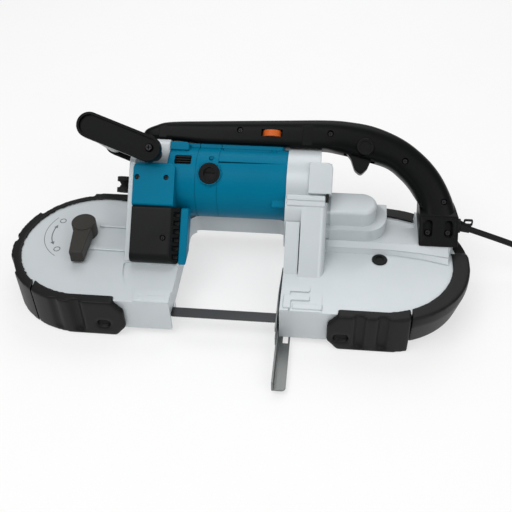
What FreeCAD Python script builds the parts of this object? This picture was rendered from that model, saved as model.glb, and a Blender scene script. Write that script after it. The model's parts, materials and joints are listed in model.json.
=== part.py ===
"""Portable band saw, lying on its wheel side. Millimetres, +Z up, +X towards the cord end.

The wheels turn about Z. The motor, handles and front box form one unit that leans back from the wheel plane;
its pieces are drawn upright in the unit's own frame and tilted into place.
"""
import FreeCAD, Part
import math
import os
from types import SimpleNamespace

import Sketcher

# Driving sizes. Lengths in millimetres, angles in degrees.
SIZES = {
    # where the wheel line and the tilted unit lie
    "wheel_line_y": -2.15,
    "unit_y": 70.7,
    "unit_z": 90.7,
    "unit_tilt": 45.0,
    # wheels and blade
    "front_reach": 164.0,
    "rear_reach": 158.0,
    "wheel_radius": 78.0,
    "wheel_width": 16.0,
    "wheel_mid": 25.0,
    "tyre_depth": 3.0,
    "rim_depth": 7.0,
    "web_thick": 5.0,
    "hub_radius": 22.0,
    "axle_radius": 7.5,
    "bearing_radius": 16.0,
    "running_gap": 0.05,
    "seat_gap": 0.02,
    "blade_width": 13.0,
    "blade_thick": 0.5,
    "blade_gap": 0.3,
    "blade_cut_y": 73.5,
    # main frame casting
    "skirt_room": 2.2,
    "skirt_wall": 3.5,
    "frame_foot": 8.0,
    "frame_top": 48.0,
    "deck": 4.0,
    "throat_left_wall": 24.0,
    "throat_right_wall": 26.0,
    "throat_back": 59.5,
    "throat_round": 12.0,
    "ridge_top": 60.0,
    "ridge_near": 15.8,
    "ridge_left": 98.0,
    # bumpers
    "bumper_front_depth": 13.5,
    "bumper_rear_depth": 19.5,
    "bumper_near_depth": 13.0,
    "bumper_lip": 6.0,
    "bumper_lip_thick": 2.5,
    # drive gears
    "gear_module": 1.5,
    "drive_teeth": 48.0,
    "pinion_teeth": 14.0,
    "lay_offset": 41.9,
    # motor
    "motor_radius": 39.5,
    "motor_wall": 3.0,
    "motor_front": 82.0,
    "core_front": 70.0,
    "motor_rear": 52.0,
    "shaft_radius": 5.0,
    # handle
    "handle_half": 18.0,
    "handle_floor": 41.5,
    # cord
    "cord_radius": 3.4,
}

doc = FreeCAD.newDocument("band_saw")
sheet = doc.addObject("Spreadsheet::Sheet", "Sheet")
for row, (alias, number) in enumerate(SIZES.items(), 1):
    sheet.set(f"A{row}", alias)
    sheet.set(f"B{row}", str(number))
    sheet.setAlias(f"B{row}", alias)
doc.recompute()


class Dim:
    """A size: its number, and the sheet expression that gives it."""

    def __init__(self, value, text):
        self.value = float(value)
        self.text = text

    def __add__(self, other):
        other = dim(other)
        return Dim(self.value + other.value, f"({self.text} + {other.text})")

    def __sub__(self, other):
        other = dim(other)
        return Dim(self.value - other.value, f"({self.text} - {other.text})")

    def __mul__(self, other):
        other = dim(other)
        return Dim(self.value * other.value, f"({self.text} * {other.text})")

    def __truediv__(self, other):
        other = dim(other)
        return Dim(self.value / other.value, f"({self.text} / {other.text})")

    def __neg__(self):
        return Dim(-self.value, f"(0 - {self.text})")

    def __radd__(self, other):
        return dim(other) + self

    def __rsub__(self, other):
        return dim(other) - self

    def __rmul__(self, other):
        return dim(other) * self


def dim(size):
    return size if isinstance(size, Dim) else Dim(size, f"({float(size)!r})")


def root(size):
    return Dim(math.sqrt(size.value), f"sqrt({size.text})")


s = SimpleNamespace(**{alias: Dim(number, f"Sheet.{alias}") for alias, number in SIZES.items()})
nodes = []


def bind(obj, prop, size):
    obj.setExpression(prop, dim(size).text)


def seat(obj, x=0, y=0, z=0):
    """Places a piece that is drawn in the wheel frame."""
    bind(obj, ".Placement.Base.x", x)
    bind(obj, ".Placement.Base.y", s.wheel_line_y + y)
    bind(obj, ".Placement.Base.z", z)


def seat_unit(obj):
    """Places a piece that is drawn upright in the tilted unit's frame."""
    obj.Placement = FreeCAD.Placement(FreeCAD.Vector(), FreeCAD.Rotation(FreeCAD.Vector(1, 0, 0), -45))
    bind(obj, ".Placement.Base.y", s.wheel_line_y + s.unit_y)
    bind(obj, ".Placement.Base.z", s.unit_z)
    bind(obj, ".Placement.Rotation.Angle", -s.unit_tilt)


def new_body(label):
    body = doc.addObject("PartDesign::Body", label)
    body.Label = label
    nodes.append(body)
    return body


def new_sketch(body, role, offset=0):
    plane = next(item for item in body.Origin.OriginFeatures if item.Role == role)
    sketch = body.newObject("Sketcher::SketchObject", "Sketch")
    sketch.AttachmentSupport = (plane, [""])
    sketch.MapMode = "FlatFace"
    bind(sketch, ".AttachmentOffset.Base.z", offset)
    return sketch


def hold(sketch, rule, *args):
    """Adds a dimension whose last argument is a Dim, and ties it to the sheet."""
    index = sketch.addConstraint(Sketcher.Constraint(rule, *args[:-1], args[-1].value))
    bind(sketch, f"Constraints[{index}]", args[-1])


def circle(sketch, x, y, radius):
    x, y, radius = dim(x), dim(y), dim(radius)
    ring = Part.Circle(FreeCAD.Vector(x.value, y.value, 0), FreeCAD.Vector(0, 0, 1), radius.value)
    index = sketch.addGeometry(ring, False)
    hold(sketch, "DistanceX", index, 3, x)
    hold(sketch, "DistanceY", index, 3, y)
    hold(sketch, "Radius", index, radius)


def outline(sketch, corners):
    """A closed outline. A corner is (x, y), or (x, y, radius) where it is rounded."""
    corners = [tuple(dim(size) for size in corner) for corner in corners]
    count = len(corners)
    flat = [FreeCAD.Vector(corner[0].value, corner[1].value, 0) for corner in corners]
    area = sum(a.x * b.y - b.x * a.y for a, b in zip(flat, flat[1:] + flat[:1]))
    cuts = []
    for index, corner in enumerate(corners):
        here = flat[index]
        back = (flat[index - 1] - here).normalize()
        ahead = (flat[(index + 1) % count] - here).normalize()
        if len(corner) == 2:
            cuts.append((here, here, None))
            continue
        half = back.getAngle(ahead) / 2
        reach = corner[2].value / math.tan(half)
        middle = (back + ahead).normalize() * (corner[2].value / math.sin(half))
        cuts.append((here + back * reach, here + ahead * reach, here + middle))
    lines = [sketch.addGeometry(Part.LineSegment(cuts[index][1], cuts[(index + 1) % count][0]), False)
             for index in range(count)]
    for index, corner in enumerate(corners):
        before, after = lines[index - 1], lines[index]
        if cuts[index][2] is None:
            sketch.addConstraint(Sketcher.Constraint("Coincident", before, 2, after, 1))
            hold(sketch, "DistanceX", after, 1, corner[0])
            hold(sketch, "DistanceY", after, 1, corner[1])
            continue
        start, end, centre = cuts[index]
        turn = (flat[index] - flat[index - 1]).cross(flat[(index + 1) % count] - flat[index]).z
        first, last = (start, end) if turn > 0 else (end, start)
        angles = [math.atan2(point.y - centre.y, point.x - centre.x) for point in (first, last)]
        if angles[1] < angles[0]:
            angles[1] += 2 * math.pi
        ring = Part.Circle(centre, FreeCAD.Vector(0, 0, 1), corner[2].value)
        arc = sketch.addGeometry(Part.ArcOfCircle(ring, *angles), False)
        ends = (1, 2) if turn > 0 else (2, 1)
        tip = sketch.addGeometry(Part.Point(flat[index]), True)
        sketch.addConstraint([
            Sketcher.Constraint("Tangent", before, 2, arc, ends[0]),
            Sketcher.Constraint("Tangent", arc, ends[1], after, 1),
            Sketcher.Constraint("PointOnObject", tip, 1, before),
            Sketcher.Constraint("PointOnObject", tip, 1, after)])
        hold(sketch, "Radius", arc, corner[2])
        hold(sketch, "DistanceX", tip, 1, corner[0])
        hold(sketch, "DistanceY", tip, 1, corner[1])


def feature(body, kind, sketch, reverse=False):
    item = body.newObject("PartDesign::" + kind, kind)
    item.Profile = sketch
    item.Reversed = reverse
    return item


def pad(body, role, offset, height, *loops, reverse=False):
    sketch = new_sketch(body, role, offset)
    for loop in loops:
        loop(sketch)
    item = feature(body, "Pad", sketch, reverse)
    bind(item, "Length", height)
    return item


def pocket(body, role, offset, depth, *loops, reverse=False):
    sketch = new_sketch(body, role, offset)
    for loop in loops:
        loop(sketch)
    item = feature(body, "Pocket", sketch, reverse)
    bind(item, "Length", depth)
    return item


def loop(*corners):
    return lambda sketch: outline(sketch, corners)


def ring(x, y, radius):
    return lambda sketch: circle(sketch, x, y, radius)


def turned(label, axis, *corners):
    """A piece of revolution. H_Axis: corners are (x, radius). V_Axis: corners are (radius, z)."""
    body = new_body(label)
    sketch = new_sketch(body, "XZ_Plane")
    outline(sketch, corners)
    item = feature(body, "Revolution", sketch)
    item.ReferenceAxis = (sketch, [axis])
    item.Angle = 360
    return body


def soften(body, radius, choose):
    """Rounds the edges of the body's last feature that choose() picks."""
    doc.recompute()
    base = body.Tip
    edges = [f"Edge{number}" for number, edge in enumerate(base.Shape.Edges, 1) if choose(edge)]
    item = body.newObject("PartDesign::Fillet", "Fillet")
    item.Base = (base, edges)
    bind(item, "Radius", radius)


def group(label, shapes, unit=False):
    """Like pieces that share one node."""
    item = doc.addObject("Part::Feature", label)
    item.Label = label
    item.Shape = shapes[0] if len(shapes) == 1 else Part.makeCompound(shapes)
    if unit:
        seat_unit(item)
    else:
        seat(item)
    nodes.append(item)
    return item


def rod(x, y, z, direction, radius, length):
    return Part.makeCylinder(radius, length, FreeCAD.Vector(x, y, z), FreeCAD.Vector(*direction))


def tube(x, y, z, direction, outer, inner, length):
    return rod(x, y, z, direction, outer, length).cut(rod(x, y, z, direction, inner, length))


def block(x, y, z):
    """A box from pairs of limits."""
    corner = FreeCAD.Vector(min(x), min(y), min(z))
    return Part.makeBox(abs(x[1] - x[0]), abs(y[1] - y[0]), abs(z[1] - z[0]), corner)


# Main frame: an open-bottomed casting in a C round the throat, with both wheel wells and a raised gear deck.
front_x = -s.front_reach
rear_x = s.rear_reach
throat_left = s.front_reach - s.wheel_radius - s.throat_left_wall
throat_right = s.rear_reach - s.wheel_radius - s.throat_right_wall
skirt_inner = s.wheel_radius + s.blade_gap + s.blade_thick + s.skirt_room
skirt_outer = skirt_inner + s.skirt_wall
deck_foot = s.frame_top - s.deck


def c_outline(reach, inset):
    """The frame's C, seen from above, out to reach and with its throat walls set back by inset."""
    left, right, back = -throat_left - inset, throat_right + inset, s.throat_back + inset
    curl = reach - 0.1
    return loop((front_x - reach, -reach, curl), (left, -reach), (left, back, s.throat_round),
                (right, back, s.throat_round), (right, -reach), (rear_x + reach, -reach, curl),
                (rear_x + reach, reach, curl), (front_x - reach, reach, curl))


def main_frame():
    slot_depth = 22
    slot = (s.blade_cut_y - 9, s.blade_cut_y + 7.4)
    body = new_body("main_frame")
    pad(body, "XY_Plane", s.frame_foot, s.frame_top - s.frame_foot, c_outline(skirt_outer, 0))
    pocket(body, "XY_Plane", s.frame_foot, deck_foot - s.frame_foot,
           c_outline(skirt_inner, s.skirt_wall), reverse=True)
    ridge_far = skirt_outer - 2
    pad(body, "XY_Plane", s.frame_top - 0.5, s.ridge_top - s.frame_top + 0.5,
        loop((s.ridge_left, s.ridge_near), (rear_x + 80.9, s.ridge_near, 3), (rear_x + 68, 47.6, 60),
             (rear_x + 44, 70.4, 60), (rear_x + 14.4, ridge_far - 0.8, 60), (s.ridge_left, ridge_far)))
    pocket(body, "XY_Plane", s.frame_top, 20, loop((rear_x + 8, 42, 6), (rear_x + 39.5, 42, 6),
                                                   (rear_x + 39.5, 100), (rear_x + 8, 100)),
           reverse=True)
    apron = s.ridge_near - 6.8
    pad(body, "YZ_Plane", s.ridge_left, 136, loop((apron, s.frame_top - 0.5), (apron, s.frame_top + 0.6),
                                                  (apron + 4.5, s.ridge_top - 3.6, 6),
                                                  (s.ridge_near, s.ridge_top - 0.2),
                                                          (s.ridge_near + 2, s.ridge_top - 0.2),
                                                  (s.ridge_near + 2, s.frame_top - 0.5)))
    for x in (-throat_left - s.skirt_wall - 1, throat_right - 1):
        pocket(body, "XY_Plane", s.frame_foot, slot_depth,
               loop((x, -slot[1]), (x + s.skirt_wall + 2, -slot[1]), (x + s.skirt_wall + 2, -slot[0]),
                    (x, -slot[0])),
               reverse=True)
    boss_foot = s.wheel_mid + s.wheel_width / 2 + 2.5
    pad(body, "XY_Plane", boss_foot, deck_foot - boss_foot + 1, ring(rear_x, 0, s.axle_radius + 5))
    pocket(body, "XY_Plane", boss_foot - 1, 40, ring(rear_x, 0, s.axle_radius + s.seat_gap), reverse=True)
    pocket(body, "XY_Plane", deck_foot - 1, 20, ring(lever_x, lever_y, lever_shaft + s.running_gap),
           reverse=True)
    lay_top = s.ridge_top - deck_foot + 4
    pocket(body, "XY_Plane", deck_foot - 1, lay_top, ring(lay_x, lay_y, lay_bearing + s.seat_gap),
           reverse=True)
    strip_back = lay_y - gear_cover - 0.3
    rise = s.unit_z - s.unit_y + 57
    pad(body, "YZ_Plane", throat_right, 15,
        loop((deck_foot + 1 - rise, deck_foot + 1), (strip_back, strip_back + rise),
             (strip_back, deck_foot + 1)))
    guard_left = throat_right + 0.6
    guard_near = dim(0.3) - skirt_outer
    pad(body, "XY_Plane", s.frame_top - 0.5, 2.1,
        loop((guard_left, guard_near), (guard_left + 9, guard_near), (guard_left + 9, -56),
             (guard_left + 30, -56, 3),
             (guard_left + 30, -46, 3), (guard_left, -46)))
    pad(body, "XY_Plane", s.frame_top - 0.5, 1.7,
        loop((guard_left + 10.5, guard_near), (guard_left + 43, guard_near), (guard_left + 43, -58, 3),
             (guard_left + 10.5, -58, 3)))
    front_guard = dim(-0.6) - throat_left
    pad(body, "XY_Plane", s.frame_top - 0.5, 2.1,
        loop((front_guard - 38, guard_near), (front_guard, guard_near), (front_guard, -66, 2),
             (front_guard - 38, -66, 2)))
    for y in stop_bolts:
        pad(body, "XY_Plane", s.frame_foot, deck_foot - s.frame_foot + 1, ring(stop_bolt_x, y, 4.5))
        pocket(body, "XY_Plane", s.frame_foot - 1, 16,
               ring(stop_bolt_x, y, stop_bolt_radius + s.seat_gap), reverse=True)
    seat(body)


# The lever that slackens the blade stands on the front deck, beside the wheel's axle.
lever_x = front_x - 15
lever_y = dim(18)
lever_shaft = dim(6)
# The lay shaft stands behind the rear axle, one gear centre distance away.
gear_centres = s.gear_module * (s.drive_teeth + s.pinion_teeth) / 2
lay_x = rear_x - root(gear_centres * gear_centres - s.lay_offset * s.lay_offset)
lay_y = s.lay_offset
lay_bearing = s.shaft_radius + 8
# Two bolts under the rear guard hold the stop plate.
stop_bolt_x = throat_right + 7.2
stop_bolts = (dim(-15), dim(-50))
stop_bolt_radius = dim(2.5)
# Radii of the gear housing's collar and of its cover over the first gear.
collar_radius = s.motor_radius + 1.5
gear_cover = dim(30.5)
main_frame()


def leaning(label, x_low, thick, *corners):
    """A plate square to X, its outline given in the wheel frame as (y, z)."""
    body = new_body(label)
    pad(body, "YZ_Plane", x_low, thick, loop(*corners))
    seat(body)
    return body


# Front bracket: a web that stands on the front deck and the block that carries the motor's front end.
bracket_x = -throat_left - 62
face_rise = s.unit_z - s.unit_y + 51


def front_bracket():
    top = s.frame_top
    block_left = bracket_x + 7
    body = leaning("front_bracket", bracket_x, 7, (top - face_rise, top), (dim(58), dim(58) + face_rise, 10),
                   (s.unit_y + 31.5, s.unit_z + 32, 8), (s.unit_y + 31, s.unit_z), (skirt_outer - 4, top))
    pad(body, "YZ_Plane", block_left, -s.motor_front - 0.2 - block_left,
        loop((s.unit_y + 17, s.unit_z + 46, 6), (s.unit_y + 50, s.unit_z + 12, 10),
             (s.unit_y + 40, s.unit_z - 12),
             (s.unit_y + 12, top), (s.unit_y - 9, top), (s.unit_y - 36, s.unit_z - 8)))
    pocket(body, "YZ_Plane", block_left, 60, ring(s.unit_y, s.unit_z, 11 + s.seat_gap), reverse=True)


front_bracket()


# Bumpers: rubber bands round both ends, with a lip over the top edge and a foot under the skirt.
def bumper(label, side, reach, end_far, end_near, seam, corner):
    """side is -1 at the front and 1 at the rear. seam is where the corner block begins."""
    centre = front_x if side < 0 else rear_x
    near = s.wheel_radius + s.bumper_near_depth
    inside = skirt_outer
    lip = skirt_outer - s.bumper_lip
    body = new_body(label)

    def band(out, inner):
        inner_curl = inner - 0.1
        return loop((end_near, -near), (centre + side * out, -near, near - 0.5),
                    (centre + side * out, near, near - 0.5),
                    (end_far, near), (end_far, inner), (centre + side * inner, inner, inner_curl),
                    (centre + side * inner, -inner, inner_curl), (end_near, -inner))

    lip_top = s.frame_top + s.bumper_lip_thick
    pad(body, "XY_Plane", 0, lip_top, band(reach, inside + s.seat_gap))
    pad(body, "XY_Plane", s.frame_top + s.seat_gap, s.bumper_lip_thick - s.seat_gap, band(reach, lip))
    pad(body, "XY_Plane", 0, s.frame_foot - s.seat_gap, band(reach, skirt_inner))
    far = centre + side * (reach + 5)
    inner_end = end_near - side * 5
    height = s.frame_top + 20
    window = loop((seam, -near - 5), (inner_end, -near - 5), (inner_end, -10), (seam, -10))
    rest = loop((far, -near - 5), (seam, -near - 5), (seam, -10), (inner_end - side * 40, -10),
                (inner_end - side * 40, near + 5), (far, near + 5))
    pocket(body, "XY_Plane", -1, height, rest if corner else window, reverse=True)
    if side > 0 and not corner:
        ridge_edge = s.ridge_near - 0.4
        behind = loop((end_far - 5, ridge_edge), (far, ridge_edge), (far, near + 5), (end_far - 5, near + 5))
        pocket(body, "XY_Plane", s.frame_top, 10, behind, reverse=True)
    if corner:
        high = s.frame_top + s.bumper_lip_thick
        for z, way in ((dim(0), 1), (high, -1)):
            point = loop((end_near - side, z - way), (end_near + side * 12, z - way),
                         (end_near - side, z + way * 15))
            pocket(body, "XZ_Plane", 40, 60, point, reverse=True)
        for step in range(2):
            pocket(body, "XY_Plane", 4, s.frame_top + 20,
                   ring(seam - side * (28 + 24 * step), -near - 2.2, 5), reverse=True)
    seat(body)


front_depth = s.wheel_radius + s.bumper_front_depth
rear_depth = s.wheel_radius + s.bumper_rear_depth
front_seam = front_x - s.wheel_radius * 50 / 78
rear_seam = rear_x + s.wheel_radius * 32 / 78
seam_gap = 0.3
for corner in (False, True):
    label = "corner_bumper" if corner else "bumper"
    gap = seam_gap if corner else 0
    bumper("front_" + label, -1, front_depth, front_x + 36, front_x + 53, front_seam + gap, corner)
    bumper("rear_" + label, 1, rear_depth, rear_x - 4, rear_x - 54, rear_seam - gap, corner)


# Wheels: turned discs with a hub and six lightening holes, a rubber tyre,
# and two ball bearings on a stub axle.
wheel_foot = s.wheel_mid - s.wheel_width / 2
wheel_top = s.wheel_mid + s.wheel_width / 2


def wheel(name, x):
    rim_outer = s.wheel_radius - s.tyre_depth
    rim_inner = rim_outer - s.rim_depth
    web_low = s.wheel_mid - s.web_thick / 2
    web_high = s.wheel_mid + s.web_thick / 2
    bore = s.bearing_radius + s.seat_gap
    body = turned(name + "_wheel", "V_Axis", (bore, wheel_foot), (s.hub_radius, wheel_foot),
                  (s.hub_radius, web_low, 3),
                  (rim_inner, web_low, 3), (rim_inner, wheel_foot), (rim_outer, wheel_foot),
                          (rim_outer, wheel_top),
                  (rim_inner, wheel_top), (rim_inner, web_high, 3), (s.hub_radius, web_high, 3),
                  (s.hub_radius, wheel_top), (bore, wheel_top))
    middle = (s.hub_radius + rim_inner) / 2
    hole = pocket(body, "XY_Plane", wheel_foot, s.wheel_width, ring(middle, 0, 11), reverse=True)
    doc.recompute()
    pattern = body.newObject("PartDesign::PolarPattern", "Holes")
    pattern.Originals = [hole]
    pattern.Angle = 360
    pattern.Occurrences = 6
    body.Tip = pattern
    seat(body, x)
    pattern.Axis = (next(item for item in body.Origin.OriginFeatures if item.Role == "Z_Axis"), [""])
    tyre = turned(name + "_tyre", "V_Axis", (rim_outer + s.seat_gap, wheel_foot + 0.5),
                  (s.wheel_radius - 0.6, wheel_foot + 0.5), (s.wheel_radius, wheel_foot + 2),
                  (s.wheel_radius, wheel_top - 2), (s.wheel_radius - 0.6, wheel_top - 0.5),
                  (rim_outer + s.seat_gap, wheel_top - 0.5))
    seat(tyre, x)
    half = s.wheel_width.value / 2
    low = wheel_foot.value
    inner = s.axle_radius.value + s.running_gap.value
    group(name + "_bearings", [tube(x.value, 0, low + half * step + 0.01, (0, 0, 1),
                                    s.bearing_radius.value, inner, half - 0.02)
                               for step in range(2)])


wheel("front", front_x)
wheel("rear", rear_x)


# Axles: the rear one is fixed in the deck's boss, the front one in the tension slide.
slide_foot = wheel_top + 2.5
slide_thick = dim(5)


def axle(label, x, top):
    flange = s.axle_radius + 3
    body = turned(label, "V_Axis", (0, wheel_foot - 3), (flange, wheel_foot - 3), (flange, wheel_foot - 0.3),
                  (s.axle_radius, wheel_foot - 0.3), (s.axle_radius, top), (0, top))
    seat(body, x)


axle("rear_axle", rear_x, s.frame_top - 2)
axle("front_axle", front_x, slide_foot + slide_thick)


# Rubber plug over the rear axle's end.
def axle_plug():
    stem = s.axle_radius - 0.1
    body = turned("axle_plug", "V_Axis", (0, s.frame_top - 1.9), (stem, s.frame_top - 1.9),
                  (stem, s.frame_top + 0.02),
                  (s.axle_radius + 0.9, s.frame_top + 0.02), (s.axle_radius + 0.9, s.frame_top + 1.6),
                  (3, s.frame_top + 1.6), (3, s.frame_top + 0.6), (0, s.frame_top + 0.6))
    seat(body, rear_x)


axle_plug()


# Tension slide: a plate under the front deck, between two rails, with a window for the lever's cam.
slide_travel = dim(6)


def tension_slide():
    body = new_body("tension_slide")
    pad(body, "XY_Plane", slide_foot, slide_thick,
        loop((front_x - 36, -17, 3), (front_x + 30, -17, 3), (front_x + 30, 30, 3), (front_x - 36, 30, 3)),
        ring(front_x, 0, s.axle_radius + s.seat_gap),
        loop((lever_x - 14, lever_y - 9), (lever_x + 11, lever_y - 9), (lever_x + 11, lever_y + 9),
             (lever_x - 14, lever_y + 9)))
    seat(body)


tension_slide()


def slide_rails():
    body = new_body("slide_rails")
    low, high = slide_foot - 2, deck_foot - s.seat_gap
    left, right = front_x - 36, front_x + 48
    pad(body, "XY_Plane", low, high - low, loop((right - 4, -25), (right, -25), (right, 38), (right - 4, 38)))
    for near, far in ((-25, -17.2), (30.2, 38)):
        pad(body, "XY_Plane", low, high - low, loop((left, near), (right, near), (right, far), (left, far)))
    seat(body)


slide_rails()


# Tension lever: a hub with a flat arm on a shaft through the deck, and the cam that moves the slide.
def tension_lever():
    base = s.frame_top + 0.3
    body = new_body("tension_lever")
    pad(body, "XY_Plane", base, 18, ring(lever_x, lever_y, 14.3))
    pad(body, "XY_Plane", base + 3, 15, loop((lever_x - 12, lever_y), (lever_x - 12, lever_y - 50, 6),
                                             (lever_x + 2, lever_y - 50, 6), (lever_x + 8, lever_y)))
    foot = slide_foot + 0.3
    pad(body, "XY_Plane", deck_foot - 0.3, base - deck_foot + 1, ring(lever_x, lever_y, lever_shaft))
    pad(body, "XY_Plane", foot, deck_foot + 0.5 - foot, ring(lever_x - 1.4, lever_y, lever_shaft - 2))
    seat(body)


tension_lever()


# Saw blade: one closed band, upright on the wheels and twisted flat where it crosses the throat.
blade_inner = s.wheel_radius + s.blade_gap
flat_front = -throat_left - 30
flat_rear = throat_right + 30


def saw_blade():
    inner, thick, width, mid = blade_inner.value, s.blade_thick.value, s.blade_width.value, s.wheel_mid.value
    line = inner + thick / 2
    cut = s.blade_cut_y.value
    left, right = front_x.value, rear_x.value
    low = mid - width / 2
    pieces = [block((left, right), (inner, inner + thick), (low, low + width))]
    for x, side in ((left, -1), (right, 1)):
        half = block((x, x + side * 200), (-200, 200), (low, low + width))
        pieces.append(tube(x, 0, low, (0, 0, 1), inner + thick, inner, width).common(half))

    def section(x, turn, y):
        """The band's section square to X: upright at turn 0, flat at 90."""
        c, n = math.cos(math.radians(turn)), math.sin(math.radians(turn))
        corners = []
        for across, along in ((-1, -1), (1, -1), (1, 1), (-1, 1)):
            a, b = across * thick / 2, along * width / 2
            corners.append(FreeCAD.Vector(x, -y + a * c + b * n, mid - a * n + b * c))
        return Part.makePolygon(corners + corners[:1])

    steps = 8
    stations = []
    for start, end, flat in ((left + 22, flat_front.value, False), (flat_rear.value, right - 22, True)):
        for step in range(steps + 1):
            share = step / steps
            twist = 1 - share if flat else share
            stations.append((start + (end - start) * share, 90 * twist, line + (cut - line) * twist))
    stations = [(left, 0, line)] + stations + [(right, 0, line)]
    for one, two in zip(stations, stations[1:]):
        pieces.append(Part.makeLoft([section(*one), section(*two)], True, True))
    group("saw_blade", [pieces[0].fuse(pieces[1:]).removeSplitter()])


saw_blade()


# Blade guides: at each side of the throat, rollers above, below and behind the flat blade, on one holder.
roller_radius = dim(6.5)
roller_pin = dim(2.5)


def blade_guide(name, x, back_x):
    cut = s.blade_cut_y.value
    mid = s.wheel_mid.value
    r, pin = roller_radius.value, roller_pin.value
    rise = s.blade_thick.value / 2 + s.blade_gap.value + r
    back_y = -cut + s.blade_width.value / 2 + s.blade_gap.value + r
    bore = pin + s.running_gap.value
    for place, z in (("upper", mid + rise), ("lower", mid - rise)):
        group(f"{name}_{place}_roller", [tube(x, -cut - 5, z, (0, 1, 0), r, bore, 10)])
    group(f"{name}_back_roller", [tube(back_x, back_y, mid - 4, (0, 0, 1), r, bore, 8)])
    top = deck_foot.value - s.seat_gap.value
    cheek = -cut + s.blade_width.value / 2 + 0.6
    holder = block((min(x, back_x) - 5.2, max(x, back_x) + 5.2), (cheek, back_y + 7), (mid + 14.5, top))
    holder = holder.fuse(block((x - 3, x + 3), (cheek, cheek + 3), (mid - rise - 4, top)))
    for z in (mid + rise, mid - rise):
        holder = holder.fuse(rod(x, -cut - 5.5, z, (0, 1, 0), pin, cheek + cut + 6.5))
    holder = holder.fuse(rod(back_x, back_y, mid - 5, (0, 0, 1), pin, 21))
    group(f"{name}_guide_holder", [holder.removeSplitter()])


guide_front_x = -throat_left - 16
guide_rear_x = throat_right + 16
blade_guide("front", guide_front_x.value, guide_front_x.value - 11)
blade_guide("rear", guide_rear_x.value, guide_rear_x.value + 11)


# Stop plate: a bent steel angle under the rear guard, slotted so that it slides along the cut.
plate_thick = dim(2)
plate_foot = s.frame_foot - 0.3 - plate_thick
stop_travel = dim(40)
plate_tip = dim(-155)
plate_end = dim(6)


def stop_plate():
    left = throat_right - 0.3 - plate_thick
    right = throat_right + 12
    body = new_body("stop_plate")
    pad(body, "XY_Plane", plate_foot, plate_thick, loop((left, plate_tip), (right, plate_tip, 4),
                                                        (right, plate_end), (left, plate_end)))
    pad(body, "YZ_Plane", left, plate_thick, loop((plate_tip, plate_foot), (plate_end, plate_foot),
                                                  (plate_end, plate_foot + 13, 3),
                                                          (plate_tip, plate_foot + 13, 5)))
    half = stop_bolt_radius + 0.3
    near, far = stop_bolts[1] - stop_travel - half, stop_bolts[0] + half
    pocket(body, "XY_Plane", plate_foot - 1, plate_thick + 2,
           loop((stop_bolt_x - half, near), (stop_bolt_x + half, near), (stop_bolt_x + half, far),
                (stop_bolt_x - half, far)),
           reverse=True)
    seat(body)
    head = plate_foot.value - 0.3
    shank = stop_bolt_radius.value
    group("stop_bolts", [rod(stop_bolt_x.value, y.value, head - 3.5, (0, 0, 1), 4.5, 3.5)
                         .fuse(rod(stop_bolt_x.value, y.value, head - 1, (0, 0, 1), shank,
                                   14)) for y in stop_bolts])


stop_plate()


# Gears. Teeth are trapezoids round the pitch circle, thinned for backlash.
def toothed(x, y, z, axis, module, teeth, turn, width, bore):
    """A spur gear of the given width along axis, with a tooth centred at the angle turn."""
    teeth = round(teeth)
    pitch = module * teeth / 2
    step = 2 * math.pi / teeth
    corners = []
    for index in range(teeth):
        for radius, share in ((pitch - 1.1 * module, -0.30), (pitch + 0.7 * module, -0.11),
                              (pitch + 0.7 * module, 0.11), (pitch - 1.1 * module, 0.30)):
            angle = math.radians(turn) + (index + share) * step
            u, v = radius * math.cos(angle), radius * math.sin(angle)
            corners.append(FreeCAD.Vector(x, y + u, z + v) if axis == "X" else FreeCAD.Vector(x + u,
                    y + v, z))
    way = FreeCAD.Vector(1, 0, 0) if axis == "X" else FreeCAD.Vector(0, 0, 1)
    gear = Part.Face(Part.makePolygon(corners + corners[:1])).extrude(way * width)
    return gear.cut(rod(x, y, z, way, bore, width)) if bore else gear


stage_module, stage_pinion, stage_gear = 1.2, 9, 43
stage_centres = stage_module * (stage_pinion + stage_gear) / 2
counter_drop = math.sqrt(stage_centres ** 2 - (s.unit_y.value - lay_y.value) ** 2)
counter_z = s.unit_z.value - counter_drop
bevel_gear_radius, bevel_pinion_radius, bevel_face = 22.5, 7.5, 0.72


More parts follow.
